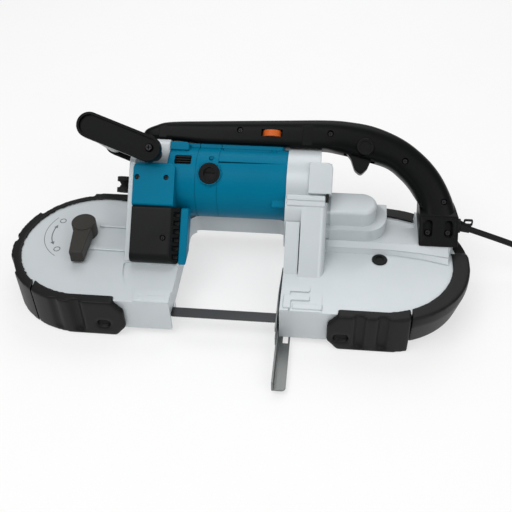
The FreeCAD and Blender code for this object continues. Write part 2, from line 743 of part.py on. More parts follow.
def drive_train():
    shaft = s.shaft_radius.value
    fit = s.seat_gap.value
    lx, ly = lay_x.value, lay_y.value
    to_lay = math.degrees(math.atan2(ly, lx - rear_x.value))
    teeth = round(s.pinion_teeth.value)
    gear_low = wheel_top.value + fit
    group("drive_gear", [toothed(rear_x.value, 0, gear_low, "Z", s.gear_module.value,
                                 round(s.drive_teeth.value), to_lay,
                                 7, s.bearing_radius.value + 1.5)])
    pinion = toothed(lx, ly, gear_low + 1, "Z", s.gear_module.value, teeth, to_lay + 180 + 180 / teeth, 8, 0)
    bevel_low = counter_z - bevel_pinion_radius
    gear = Part.makeCone(bevel_gear_radius - 0.5, bevel_gear_radius * bevel_face,
                         bevel_pinion_radius * (1 - bevel_face), FreeCAD.Vector(lx, ly, bevel_low - 0.4))
    gear = gear.fuse(rod(lx, ly, bevel_low - 5.4, (0, 0, 1), bevel_gear_radius - 0.5, 5))
    lay = pinion.fuse([rod(lx, ly, gear_low + 1, (0, 0, 1), shaft, bevel_low - gear_low), gear])
    group("lay_shaft", [lay.removeSplitter()])
    bore = shaft + s.running_gap.value
    rings = [tube(lx, ly, deck_foot.value + 5, (0, 0, 1), lay_bearing.value, bore, 9)]
    big = lx - bevel_gear_radius
    small = lx - bevel_gear_radius * bevel_face
    bevel = Part.makeCone(bevel_pinion_radius - 0.4, bevel_pinion_radius * bevel_face - 0.4, small - big,
                          FreeCAD.Vector(big, ly, counter_z), FreeCAD.Vector(1, 0, 0))
    gear_x = s.motor_rear.value + 12
    from_motor = math.degrees(math.atan2(s.unit_z.value - counter_z, s.unit_y.value - ly))
    wheel_gear = toothed(gear_x, ly, counter_z, "X", stage_module, stage_gear, from_motor, 9, 0)
    counter = wheel_gear.fuse([rod(gear_x, ly, counter_z, (1, 0, 0), shaft, big - gear_x), bevel])
    group("countershaft", [counter.removeSplitter()])
    rings.append(tube(gear_x + 12, ly, counter_z, (1, 0, 0), shaft + 7, bore, 8))
    y, z = s.unit_y.value, s.unit_z.value
    front, rear = -s.motor_front.value, s.motor_rear.value
    core = -s.core_front.value
    spin = toothed(gear_x - 1, y, z, "X", stage_module, stage_pinion,
                   from_motor + 180 + 180 / stage_pinion, 11, 0)
    neck = 3.6
    rotor_radius = s.motor_radius.value - 14.5
    fan_radius = s.motor_radius.value - 6.5
    rotor = rod(front - 10, y, z, (1, 0, 0), shaft, rear + 10 - front + 8)
    rotor = rotor.fuse([rod(rear, y, z, (1, 0, 0), neck, 13), spin,
                        rod(core + 26, y, z, (1, 0, 0), 14, 24),
                        rod(core + 58, y, z, (1, 0, 0), rotor_radius, 48)])
    group("armature", [rotor.removeSplitter()])
    hub = rod(rear - 13, y, z, (1, 0, 0), 12, 9).fuse(rod(rear - 13, y, z, (1, 0, 0), fan_radius, 2))
    for index in range(10):
        vane = block((rear - 11.5, rear - 4), (y + 11, y + fan_radius - 1), (z - 0.8, z + 0.8))
        vane.rotate(FreeCAD.Vector(0, y, z), FreeCAD.Vector(1, 0, 0), 36 * index)
        hub = hub.fuse(vane)
    group("fan", [hub.cut(rod(rear - 14, y, z, (1, 0, 0), shaft + fit, 12)).removeSplitter()])
    rings += [tube(x, y, z, (1, 0, 0), 11, bore, 8) for x in (front - 9, rear + 0.5)]
    group("drive_bearings", rings)
    group("stator", [tube(core + 60, y, z, (1, 0, 0), s.motor_radius.value - s.motor_wall.value - fit,
                          rotor_radius + 1, 44)])


drive_train()


# Motor housing: a turned barrel with a front wall, a flat rail along the top and a boss for each brush.
brush_x = dim(-33)
brush_z = dim(4.3)
brush_bore = dim(9.1)
rail_top = s.handle_floor - s.seat_gap


def motor_housing():
    outer, inner = s.motor_radius, s.motor_radius - s.motor_wall
    front, rear = -s.motor_front, s.motor_rear
    body = turned("motor_housing", "H_Axis", (front, s.shaft_radius + 1), (front, outer, 3),
                  (rear, outer), (rear, inner),
                  (front + 4, inner), (front + 4, s.shaft_radius + 1))
    pad(body, "XY_Plane", inner + 0.4, rail_top - inner - 0.4,
        loop((front + 8, -13, 4), (rear - 6, -13, 4), (rear - 6, 13, 4), (front + 8, 13, 4)))
    boss = s.motor_radius - 7
    for side in (1, -1):
        pad(body, "XZ_Plane", boss * side, 9.5, ring(brush_x, brush_z, 12.7), reverse=side < 0)
    pocket(body, "XZ_Plane", -60, 120, ring(brush_x, brush_z, brush_bore + s.seat_gap), reverse=True)
    seat_unit(body)


motor_housing()


# Brush gear: on each side a holder, a carbon brush and a slotted cap.
def brush_gear():
    x, z, bore = brush_x.value, brush_z.value, brush_bore.value
    brushes, caps = [], []
    for side in (-1, 1):
        way = (0, side, 0)
        brushes.append(rod(x, side * 14.6, z, way, 5, 16))
        cap = rod(x, side * 39.5, z, way, bore, 3.6).fuse(tube(x, side * 20, z, way, bore, 5.02, 20))
        slot = block((x - 1, x + 1), (side * 42, side * 44), (z - 7, z + 7))
        caps.append(cap.cut(slot).removeSplitter())
    group("brushes", brushes, True)
    group("brush_caps", caps, True)


brush_gear()


# Gear housing: the collar behind the motor, the cover round the first gear pair,
# and the leg down to the rear deck.
housing_left = s.motor_rear + 0.1
housing_right = s.ridge_left - 0.2
stage_left = s.motor_rear + 8.6


def gear_housing():
    top = s.frame_top + s.seat_gap
    body = new_body("gear_housing")
    pad(body, "YZ_Plane", housing_left, housing_right - housing_left, ring(lay_y, counter_z, gear_cover))
    pad(body, "YZ_Plane", housing_left, dim(88) - housing_left, ring(s.unit_y, s.unit_z, collar_radius))
    pad(body, "YZ_Plane", 70.2, housing_right - 70.2,
        loop((dim(-33), top), (dim(24), top + 57, 4), (lay_y, top + 57), (lay_y, top)))
    pad(body, "YZ_Plane", 75, 26, loop((s.unit_y - 34, s.unit_z + 18), (s.unit_y - 10, s.unit_z + 41, 4),
                                       (s.unit_y + 8, s.unit_z + 24), (s.unit_y - 16, s.unit_z)))
    pocket(body, "YZ_Plane", housing_left - 1, 10, ring(s.unit_y, s.unit_z, 11 + s.seat_gap), reverse=True)
    pocket(body, "YZ_Plane", stage_left, 15.4, ring(s.unit_y, s.unit_z, 9), reverse=True)
    pocket(body, "YZ_Plane", stage_left, 15.4, ring(lay_y, counter_z, 27.8), reverse=True)
    pocket(body, "YZ_Plane", stage_left + 15, 40,
           ring(lay_y, counter_z, s.shaft_radius + 7 + s.seat_gap), reverse=True)
    seat(body)


gear_housing()


# Gear case: a stepped cover on the gear deck, over the bevel gears and the lay shaft.
case_left = s.ridge_left + 3.2
case_right = lay_x + 25.7
dome_right = lay_x + 14.2


def gear_case():
    foot = s.ridge_top + s.seat_gap
    step = dim(75)
    body = new_body("gear_case")
    pad(body, "XY_Plane", foot, step - foot, loop((case_left, lay_y - 25.5), (case_right, lay_y - 25.5, 24),
                                                  (case_right, lay_y + 25.5, 24), (case_left, lay_y + 25.5)))
    pad(body, "XY_Plane", step - 0.5, 19.5, loop((case_left, lay_y - 18), (dome_right, lay_y - 18, 17),
                                                 (dome_right, lay_y + 18, 17), (case_left, lay_y + 18)))
    dome_top = 94
    soften(body, 4, lambda edge: abs(edge.CenterOfMass.z - dome_top) < 0.01
           and edge.BoundBox.XMax > case_left.value + 1)
    pocket(body, "XY_Plane", foot - 1, 14.6, ring(lay_x, lay_y, bevel_gear_radius + 1), reverse=True)
    pocket(body, "YZ_Plane", case_left - 1, lay_x - case_left - 5, ring(lay_y, counter_z, 9), reverse=True)
    seat(body)


gear_case()


# Main handle: two moulded halves that meet on the unit's middle plane, hollow for the switch and the dial.
grip_outer = ((245, -60), (244, -37, 40), (237.2, -12.8, 40), (227, 10, 40), (206.2, 36, 40), (177, 57.2, 40),
              (141, 71.2, 40), (95, 75.6, 60), (4, 71.5, 200), (-86, 67, 40), (-116, 56, 11))
grip_inner = ((109, 38, 40), (162, 25, 40), (177, 14, 40), (191.5, -1, 40), (200, -17.5, 40),
              (203, -34, 40), (203, -60))
boot_top = dim(84)
lock_x, lock_z, lock_radius = dim(136.3), dim(44.5), dim(9.5)
dial_x, dial_y, dial_radius = dim(31.5), dim(-9.5), dim(11)


def handle_half(label, side):
    """side is 1 towards the viewer, -1 away."""
    seam = dim(0.05)
    floor = s.handle_floor
    front_floor = dim(44.7)
    body = new_body(label)
    profile = ((dim(-116), front_floor), (-s.motor_front + 0.2, front_floor),
               (-s.motor_front + 0.2, floor), (dim(90), floor),
               (dim(90), dim(38.4))) + grip_inner + grip_outer
    pad(body, "XZ_Plane", seam * side, s.handle_half - seam, loop(*profile), reverse=side < 0)
    face = -s.handle_half.value * side

    def on_face(edge):
        box = edge.BoundBox
        return abs(box.YMin - face) < 0.01 and abs(box.YMax - face) < 0.01

    def inner(edge):
        """The edge round the hand gap, from the motor's end down to the boot."""
        middle = edge.CenterOfMass
        low = middle.z < 33.2 and middle.x < 203.9 or middle.z < 39 and middle.x < 140
        return on_face(edge) and low and middle.x > 92 and middle.z > -59.9

    def outer(edge):
        """The edge over the top and down the back of the rear leg."""
        middle = edge.CenterOfMass
        return on_face(edge) and (middle.z > 46 or middle.x > 213.5 and middle.z > -59.9)

    soften(body, 3, inner)
    soften(body, 8, outer)
    lean = boot_top - s.unit_z + s.seat_gap
    cut = lean / 0.70711
    pocket(body, "YZ_Plane", 150, 110, loop((-40, cut - 40), (40, cut + 40), (40, -120), (-40, -120)),
           reverse=True)

    def hollow(depth, left, right, low, high):
        pocket(body, "XZ_Plane", 0, depth, loop((left, low), (right, low), (right, high), (left, high)),
               reverse=side > 0)

    hollow(12, 104, 150.4, 47, 60.5)
    hollow(12, 150, 160, 47, 58)
    hollow(8.4, 113, 148, 20, 48)
    hollow(20 if side > 0 else 3, dial_x - dial_radius - 0.8, dial_x + dial_radius + 0.8, 52, 60)
    if side > 0:
        pocket(body, "XZ_Plane", 9, 12, ring(lock_x, lock_z, lock_radius + 0.1), reverse=True)
    seat_unit(body)


handle_half("handle_near", 1)
handle_half("handle_far", -1)


# Controls in the handle: the trigger with the switch behind it, the lock button and the speed dial.
def controls():
    body = new_body("trigger")
    pad(body, "XZ_Plane", -8, 16, loop((109, 47.3), (115, 47.3), (115, 40, 6), (121, 33, 12),
                                       (126, 20, 8), (133, 14.5, 4),
                                       (140, 22, 8), (146, 38, 8), (146, 47.3), (149.7, 47.3),
                                               (149.7, 53), (109, 53)))
    seat_unit(body)
    group("switch_body", [block((151, 159.8), (-11.5, 11.5), (47.2, 57.8))], True)
    button = new_body("lock_button")
    pad(button, "XZ_Plane", 12.3, 8.2, ring(lock_x, lock_z, lock_radius))
    seat_unit(button)
    dial = new_body("speed_dial")
    pad(dial, "XY_Plane", 52.4, 7.2, ring(dial_x, dial_y, dial_radius))
    seat_unit(dial)


controls()


# Boot: the block under the rear leg of the handle, standing on the gear deck.
def boot():
    half = s.handle_half + 1
    body = new_body("boot")
    pad(body, "XZ_Plane", -half, half * 2, loop((199.5, 22), (199.5, -78), (241.8, -78), (241.8, -30, 20),
                                               (238.6, -12.8, 40), (228.4, 10, 30), (222, 22)))
    foot = (s.ridge_top + s.seat_gap - s.unit_z) / 0.70711
    top = (boot_top - s.unit_z) / 0.70711
    for level, beyond in ((foot, dim(-160)), (top, dim(90))):
        pocket(body, "YZ_Plane", 150, 110, loop((-40, level - 40), (40, level + 40), (40, beyond),
                                                (-40, beyond)), reverse=True)
    seat_unit(body)


boot()


# Front handle: two arms with bosses to the front bracket, and a round grip across their ends.
arm_end = (bracket_x.value - 41, 49.0)
arm_root = (bracket_x.value + 25, 26.0)
arm_radius = 14.3


def front_handle():
    across = FreeCAD.Vector(arm_root[0] - arm_end[0], 0, arm_root[1] - arm_end[1])
    side = FreeCAD.Vector(across.z, 0, -across.x).normalize() * arm_radius
    end = FreeCAD.Vector(arm_end[0], 0, arm_end[1])
    start = FreeCAD.Vector(arm_root[0], 0, arm_root[1])
    corners = [end + side, start + side, start - side, end - side, end + side]
    arms = []
    for low, high, foot in ((-62, -52, -20.7), (52, 62, 38)):
        plate = Part.Face(Part.makePolygon(corners)).extrude(FreeCAD.Vector(0, high - low, 0))
        plate.translate(FreeCAD.Vector(0, low, 0))
        for place in (end, start):
            plate = plate.fuse(rod(place.x, low, place.z, (0, 1, 0), arm_radius, high - low))
        inside = high if low < 0 else low
        boss = rod(start.x, min(inside, foot), start.z, (0, 1, 0), 8, abs(foot - inside))
        arms.append(plate.fuse(boss).removeSplitter())
    group("front_handle", arms, True)
    group("front_grip", [rod(end.x, -51.98, end.z, (0, 1, 0), 12, 103.96)], True)


front_handle()


# Front box, vent cover and rib: the leaning covers between the front bracket and the throat.
def covers():
    foot = s.frame_top + 0.3
    box = leaning("front_box", bracket_x + 7.2, 46.3, (dim(48.4), dim(132.8), 6), (dim(65.9), dim(115.3)),
                  (dim(31.6), dim(81.0)), (dim(14.1), dim(98.5), 3))
    pocket(box, "YZ_Plane", -s.motor_front - 0.2, 20, ring(s.unit_y, s.unit_z, s.motor_radius + 0.3),
           reverse=True)
    vent = new_body("vent_cover")
    left, right = bracket_x + 8, -throat_left - 1
    pad(vent, "YZ_Plane", left, right - left,
        loop((-47, -34.8, 3), (-47, -97, 6), (-38, -97), (-20.6, -79.6), (-20.6, -34.8)))
    pocket(vent, "XY_Plane", -100, 70, loop((right + 1, -48), (right - 10, -48), (right + 1, -36)),
           reverse=True)
    for step in range(6):
        low = -92 + 9.3 * step
        pocket(vent, "XZ_Plane", 50, 15, loop((right - 6, low), (right + 1, low), (right + 1, low + 5.2),
                                              (right - 6, low + 5.2)))
    seat_unit(vent)
    leaning("front_rib", -throat_left - 0.7, 8.7, (dim(-25.4), foot), (dim(19.4), dim(93.2), 4),
            (dim(31.4), dim(81.2)), (dim(-1.4), foot))


covers()


# Rubber stud beside the front bracket.
stud_x = bracket_x.value - 13
stud_end = bracket_x.value - s.seat_gap.value
stud = rod(stud_x, 0, -16.5, (0, 0, 1), 9, 5)
stud = stud.fuse([
    Part.makeCone(7, 4.5, 4.5, FreeCAD.Vector(stud_x, 0, -12)),
    Part.makeCone(4.5, 7, 4.5, FreeCAD.Vector(stud_x, 0, -8)),
    rod(stud_x, 0, -4, (0, 0, 1), 9, 5),
    block((stud_x, stud_end), (-4, 4), (-16, -12)),
])
group("rubber_stud", [stud.removeSplitter()], True)


# Cord: guard, drooping lead, tied coil on the floor, tail and plug.
cord_start = (257.06, 44, 61.54)
lead_points = (cord_start, (277, 43.9, 54.28), (308, 43.2, 43.1), (330, 41.8, 34.2), (349, 39.8, 28.4),
               (367, 37.6, 26.1), (388.18, 36, 25.65))
coil_x, coil_y, coil_out, coil_pitch, coil_turns, coil_layers, layer_rise = 395, -11, 47, 7.6, 2.25, 4, 7.4
coil_foot = s.cord_radius.value + 0.05
tail_points = ((401.84, 36, 3.45), (420, 36.1, 3.6), (438, 36.2, 6.2), (456, 36.1, 9.4), (474, 36, 10))


def sweep(edges, start, direction):
    wire = Part.Wire(edges)
    profile = Part.Wire(Part.Circle(start, direction, s.cord_radius.value).toShape())
    solid = wire.makePipeShell([profile], True, False)
    expected = math.pi * s.cord_radius.value ** 2 * wire.Length
    return solid, wire.Length, solid.Volume / expected


def cord_run(label, points):
    """Straight runs joined by tangent arcs."""
    points = [FreeCAD.Vector(*point) for point in points]
    edges, here, radii = [], points[0], []
    for before, corner, after in zip(points, points[1:], points[2:]):
        back, ahead = before - corner, after - corner
        reach = 0.45 * min(back.Length, ahead.Length)
        back.normalize()
        ahead.normalize()
        half = back.getAngle(ahead) / 2
        radius = reach * math.tan(half)
        radii.append(round(radius, 1))
        middle = corner + (back + ahead).normalize() * (radius / math.sin(half) - radius)
        edges.append(Part.makeLine(here, corner + back * reach))
        edges.append(Part.Arc(corner + back * reach, middle, corner + ahead * reach).toShape())
        here = corner + ahead * reach
    edges.append(Part.makeLine(here, points[-1]))
    solid, length, share = sweep(edges, points[0], points[1] - points[0])
    print(label, "radii", radii, "length", round(length, 1), "volume share", round(share, 4))
    group(label, [solid])


def coil_point(turn):
    layer = turn / coil_turns
    within = layer % 2
    inward = coil_turns * coil_pitch * (within if within <= 1 else 2 - within)
    angle = math.pi / 2 - 2 * math.pi * turn
    drop = 0
    for change in range(1, coil_layers):
        share = min(max((turn - change * coil_turns + 0.25) / 0.5, 0), 1)
        drop += share * share * (3 - 2 * share)
    radius = coil_out - inward
    height = coil_foot + layer_rise * (coil_layers - 1 - drop)
    return FreeCAD.Vector(coil_x + radius * math.cos(angle), coil_y + radius * math.sin(angle), height)


def bend(start, tip, end):
    """The arc from start to end whose end tangents meet at tip."""
    middle = (start + end) / 2
    reach = (end - start).Length / 2
    cosine = reach / (tip - start).Length
    rise = (tip - middle).normalize() * (reach * math.sqrt((1 - cosine) / (1 + cosine)))
    return Part.Arc(start, middle + rise, end).toShape()


def cord_coil():
    total = coil_turns * coil_layers
    count = round(total * 4)
    turns = [total * index / count for index in range(count + 1)]
    places = [coil_point(turn) for turn in turns]
    ways = []
    for turn in turns:
        way = coil_point(min(turn + 0.004, total)) - coil_point(max(turn - 0.004, 0))
        ways.append(way.normalize())
    ways[0] = ways[-1] = FreeCAD.Vector(1, 0, 0)
    lead = FreeCAD.Vector(2 * s.cord_radius.value, 0, 0)
    edges = [Part.makeLine(places[0] - lead, places[0])]
    for place, way, goal, aim in zip(places, ways, places[1:], ways[1:]):
        gap = goal - place
        a = 2 * (1 - way.dot(aim))
        b = 2 * gap.dot(way + aim)
        d = (-b + math.sqrt(b * b + 4 * a * gap.dot(gap))) / (2 * a)
        first, second = place + way * d, goal - aim * d
        joint = (first + second) / 2
        edges.append(bend(place, first, joint))
        edges.append(bend(joint, second, goal))
    edges.append(Part.makeLine(places[-1], places[-1] + lead))
    samples = []
    travelled = 0
    for edge in edges:
        for share in range(8):
            samples.append((travelled + edge.Length * share / 8, edge.valueAt(
                edge.FirstParameter + (edge.LastParameter - edge.FirstParameter) * share / 8)))
        travelled += edge.Length
    least = min((p - q).Length for i, (u, p) in enumerate(samples) for v, q in samples[i + 1:] if v - u > 60)
    solid, length, share = sweep(edges, places[0] - lead, lead)
    print("cord_coil length", round(length, 1), "volume share", round(share, 4),
          "least self-gap", round(least - 2 * s.cord_radius.value, 2))
    group("cord_coil", [solid])


guard_x, guard_y, guard_z = 241.82, 44, 66
guard_lean = FreeCAD.Vector(math.cos(math.radians(20)), 0, -math.sin(math.radians(20)))
group("cord_guard", [rod(guard_x, guard_y, guard_z, (1, 0, 0), 8, 4).fuse(Part.makeCone(
    6.2, 4.4, 13, FreeCAD.Vector(guard_x + 3, guard_y, guard_z), guard_lean)).removeSplitter()])
cord_run("cord_lead", lead_points)
cord_coil()
cord_run("cord_tail", tail_points)
plug_x = 474.02
plug = block((plug_x + 10, plug_x + 40), (36 - 14, 36 + 14), (0.05, 19.95))
plug = plug.fuse(Part.makeCone(5, 7, 11, FreeCAD.Vector(plug_x, 36, 10), FreeCAD.Vector(1, 0, 0)))
group("plug", [plug.removeSplitter()])
group("plug_pins", [rod(plug_x + 40.02, y, 10, (1, 0, 0), 2, 19) for y in (26.5, 45.5)])


# Every piece is computed and checked, then written.
doc.recompute()
faults = [f"{item.Name} {item.State}" for item in doc.Objects if {"Invalid", "Error"} & set(item.State)]
faults += [item.Label for item in nodes if item.Shape.isNull() or not item.Shape.isValid()]
if faults:
    raise SystemExit("not written: " + ", ".join(faults))
os.makedirs("parts", exist_ok=True)
for item in nodes:
    shape = item.Shape
    print(item.Label, len(shape.Solids), [round(v, 1) for v in (shape.BoundBox.XMin, shape.BoundBox.XMax,
                                                                shape.BoundBox.YMin,
          shape.BoundBox.YMax, shape.BoundBox.ZMin, shape.BoundBox.ZMax)])
    shape.exportStep(f"parts/{item.Label}.step")
print(len(nodes), "pieces")
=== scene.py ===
import json
import math

import bmesh
import bpy
from mathutils import Matrix, Vector

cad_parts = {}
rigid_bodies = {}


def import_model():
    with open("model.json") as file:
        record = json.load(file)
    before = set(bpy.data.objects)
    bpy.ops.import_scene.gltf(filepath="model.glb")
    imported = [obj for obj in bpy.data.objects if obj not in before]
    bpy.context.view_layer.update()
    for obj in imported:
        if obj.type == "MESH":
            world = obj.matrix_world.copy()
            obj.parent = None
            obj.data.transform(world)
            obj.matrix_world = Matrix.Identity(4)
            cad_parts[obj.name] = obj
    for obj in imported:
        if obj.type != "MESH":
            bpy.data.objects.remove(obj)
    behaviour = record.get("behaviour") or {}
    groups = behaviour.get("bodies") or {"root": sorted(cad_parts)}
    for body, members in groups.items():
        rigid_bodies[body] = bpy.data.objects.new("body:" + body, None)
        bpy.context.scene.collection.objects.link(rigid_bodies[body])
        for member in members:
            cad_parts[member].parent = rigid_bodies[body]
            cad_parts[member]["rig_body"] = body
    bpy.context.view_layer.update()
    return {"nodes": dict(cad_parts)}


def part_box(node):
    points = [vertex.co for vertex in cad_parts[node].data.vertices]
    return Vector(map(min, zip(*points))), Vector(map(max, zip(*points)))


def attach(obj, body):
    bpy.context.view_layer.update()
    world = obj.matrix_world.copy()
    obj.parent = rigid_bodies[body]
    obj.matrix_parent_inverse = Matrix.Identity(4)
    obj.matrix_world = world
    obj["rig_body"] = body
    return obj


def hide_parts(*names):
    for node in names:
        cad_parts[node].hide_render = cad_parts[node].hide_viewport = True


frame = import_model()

scene = bpy.context.scene

# Main frame: one light-alloy casting in a C round the throat, open below over both wheels.
# It is die-cast, shot-blasted and sprayed with silver-grey enamel, so its edges are round
# and its skin is a little pebbled.
WHEEL_LINE = -2.15
DECK = 48.0
CAST_EDGE = 0.0011
MILLIMETRES = Matrix.Scale(0.001, 4)
wheel_frame = Matrix.Translation((0, WHEEL_LINE / 1000, 0)) @ MILLIMETRES


class Value:
    """A shader socket. Arithmetic on it adds Math nodes."""

    def __init__(self, finish, socket):
        self.finish = finish
        self.socket = socket

    def join(self, operation, other):
        return self.finish.node("Math", {"operation": operation}, self, other)

    def __add__(self, other):
        return self.join("ADD", other)

    def __mul__(self, other):
        return self.join("MULTIPLY", other)

    __radd__ = __add__
    __rmul__ = __mul__


class Finish:
    """A surface finish: one Principled shader and the nodes that feed it."""

    def __init__(self, name, **steady):
        self.material = bpy.data.materials.new(name)
        self.material.use_nodes = True
        self.tree = self.material.node_tree
        self.shader = self.tree.nodes["Principled BSDF"]
        for socket, number in steady.items():
            self.shader.inputs[socket.replace("_", " ")].default_value = number

    def feed(self, socket, value):
        if isinstance(value, Value):
            self.tree.links.new(value.socket, socket)
        else:
            socket.default_value = value

    def node(self, kind, settings, *values, out=0, **named):
        made = self.tree.nodes.new("ShaderNode" + kind)
        for key, setting in settings.items():
            setattr(made, key, setting)
        for place, value in [*enumerate(values), *named.items()]:
            place = str(place).replace("_", " ")
            self.feed(made.inputs[int(place) if place.isdigit() else place], value)
        return Value(self, made.outputs[out])

    def noise(self, scale, detail=3, stretch=(1, 1, 1)):
        place = self.node("TexCoord", {}, out="Object")
        place = self.node("Mapping", {}, Vector=place, Scale=stretch)
        return self.node("TexNoise", {}, Vector=place, Scale=scale, Detail=detail)

    def blend(self, share, one, two):
        sockets = {"0": share, "6": one, "7": two}
        return self.node("Mix", {"data_type": "RGBA"}, out=2, **sockets)

    def surface(self, **fed):
        for socket, value in fed.items():
            self.feed(self.shader.inputs[socket.replace("_", " ")], value)

    def bumps(self, height, strength, depth):
        self.surface(Normal=self.node("Bump", {}, Height=height, Strength=strength, Distance=depth))


def tone(red, green, blue):
    """A colour as it is seen, 0 to 255, in the shader's linear light."""
    shares = [level / 255 for level in (red, green, blue)]
    return (*[((s + 0.055) / 1.055) ** 2.4 if s > 0.04045 else s / 12.92 for s in shares], 1)


CLOUD_SCALE, GLOSS_SPREAD, PEBBLE_DEPTH = 11, 0.16, 0.0003


def coated(name, dark, light, roughness, grain, pebble, **steady):
    """A painted or moulded skin: slow clouds in the colour, a pebbled grain in gloss and height."""
    finish = Finish(name, **steady)
    fine = finish.noise(grain)
    cloudy = finish.blend(finish.noise(CLOUD_SCALE), tone(*dark), tone(*light))
    finish.surface(Base_Color=cloudy, Roughness=fine * GLOSS_SPREAD + roughness)
    finish.bumps(fine, pebble, PEBBLE_DEPTH)
    return finish


def plain_mesh(piece):
    """What the modifiers of a piece give becomes its own mesh."""
    seen = piece.evaluated_get(bpy.context.evaluated_depsgraph_get())
    mesh = bpy.data.meshes.new_from_object(seen)
    piece.modifiers.clear()
    piece.data = mesh


def shown(name, shape):
    mesh = bpy.data.meshes.new(name)
    shape.to_mesh(mesh)
    shape.free()
    piece = bpy.data.objects.new(name, mesh)
    scene.collection.objects.link(piece)
    return piece


def extruded(outline, low, high):
    """A closed shell from a flat outline, between two levels."""
    count = len(outline)
    points = [(x, y, level) for level in (low, high) for x, y in outline]
    sides = [(i, (i + 1) % count, count + (i + 1) % count, count + i) for i in range(count)]
    return points, [tuple(range(count))[::-1], tuple(range(count, 2 * count)), *sides]


def lofted(rings, joined=False):
    """A closed shell through rings of points, with a cap at each end or joined end to end."""
    count = len(rings[0])
    points = [point for ring in rings for point in ring]
    total, last = len(points), len(points) - count
    faces = [] if joined else [tuple(range(count))[::-1], tuple(range(last, total))]
    for first in range(0, total if joined else last, count):
        upper = (first + count) % total
        for i in range(count):
            j = (i + 1) % count
            faces.append((first + i, first + j, upper + j, upper + i))
    return points, faces


CORNER_SHARE = 0.49


def rounded(corners, radius, steps=6):
    """An outline with each of its corners drawn as a soft curve."""
    outline = []
    for index, corner in enumerate(corners):
        middle = Vector(corner)
        before = Vector(corners[index - 1]) - middle
        after = Vector(corners[(index + 1) % len(corners)]) - middle
        reach = min(radius, before.length * CORNER_SHARE, after.length * CORNER_SHARE)
        start, end = middle + before.normalized() * reach, middle + after.normalized() * reach
        for step in range(steps + 1):
            share = step / steps
            point = start * (1 - share) ** 2 + middle * 2 * share * (1 - share) + end * share ** 2
            outline.append(tuple(point))
    return outline


def square(left, right, low, high):
    return [(left, low), (right, low), (right, high), (left, high)]


def oblong(left, right, low, high, radius):
    return rounded(square(left, right, low, high), radius)


def solid(shells, place):
    """The shells as one closed mesh, put in their place, facing outwards."""
    shape = bmesh.new()
    for points, faces in shells:
        corners = [shape.verts.new(place @ Vector(point)) for point in points]
        for face in faces:
            shape.faces.new([corners[index] for index in face])
    bmesh.ops.recalc_face_normals(shape, faces=shape.faces)
    return shape


EDGE_STEPS, EDGE_FROM, CREASE_FROM = 3, math.radians(32), math.radians(38)


def finished(piece, finish, edge=0.0, cutters=(), soft=None):
    """Rounds the edges, sinks the pockets, and gives the piece its surface. Soft rubber, given by
    its grain and the passes over it, is rounded all over."""
    if edge:
        bevel = piece.modifiers.new("edges", "BEVEL")
        bevel.width = edge
        bevel.segments = EDGE_STEPS
        bevel.limit_method = "ANGLE"
        bevel.angle_limit = EDGE_FROM
    holes = [shown("pocket", shape) for shape in cutters]
    for hole in holes:
        sink = piece.modifiers.new("pocket", "BOOLEAN")
        sink.operation = "DIFFERENCE"
        sink.solver = "EXACT"
        sink.object = hole
    if soft:
        grain, passes = soft
        grains = piece.modifiers.new("grains", "REMESH")
        grains.mode = "VOXEL"
        grains.voxel_size = grain
        rub = piece.modifiers.new("rub", "SMOOTH")
        rub.iterations = passes
    plain_mesh(piece)
    for hole in holes:
        bpy.data.objects.remove(hole)
    for corner in piece.data.vertices:
        corner.co.z = max(corner.co.z, 0.0)
    piece.data.shade_smooth()
    piece.data.set_sharp_from_angle(angle=CREASE_FROM)
    even = piece.modifiers.new("even", "WEIGHTED_NORMAL")
    even.keep_sharp = True
    plain_mesh(piece)
    piece.data.materials.clear()
    piece.data.materials.append(finish.material)
    return piece


WELD, FLAT_WITHIN, WIDE_STEPS = 1e-5, math.radians(1), 5


def skinned(node, finish, edge=0.0, cutters=(), wide=None, soft=None):
    """A node's own shape with rounded edges and sunk pockets, shown in its stead. Chosen edges
    can be rounded more widely first."""
    shape = bmesh.new()
    shape.from_mesh(frame["nodes"][node].data)
    bmesh.ops.remove_doubles(shape, verts=shape.verts, dist=WELD)
    bmesh.ops.dissolve_limit(shape, angle_limit=FLAT_WITHIN, verts=shape.verts, edges=shape.edges)
    if wide:
        chosen, width = wide
        bmesh.ops.bevel(shape, geom=[line for line in shape.edges if chosen(line)], offset=width,
                        offset_type="OFFSET", segments=WIDE_STEPS, profile=0.5, affect="EDGES",
                        clamp_overlap=False)
    piece = finished(shown(node + "_skin", shape), finish, edge, cutters, soft)
    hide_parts(node)
    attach(piece, frame["nodes"][node]["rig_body"])
    return piece


def added(name, shells, place, finish, edge=0.0, cutters=(), body="frame", instead=()):
    """A new piece, of the shells given, on the body that carries it."""
    piece = finished(shown(name, solid(shells, place)), finish, edge, cutters)
    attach(piece, body)
    if instead:
        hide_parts(*instead)
    return piece


enamel = coated("silver_enamel", (190, 197, 200), (207, 213, 216), 0.30, 900, 0.10,
                Metallic=0.15, Specular_IOR_Level=0.4)
SCOOP_LINE = [(-122.8, -24.5), (-122.3, -34), (-119, -50), (-112, -62), (-101, -66), (-58, -66),
              (-58, -30), (-66, -24.5)]
SCOOP_ROUND, SCOOP_DEPTH, DECK_CLEAR = 4, 2.0, 20
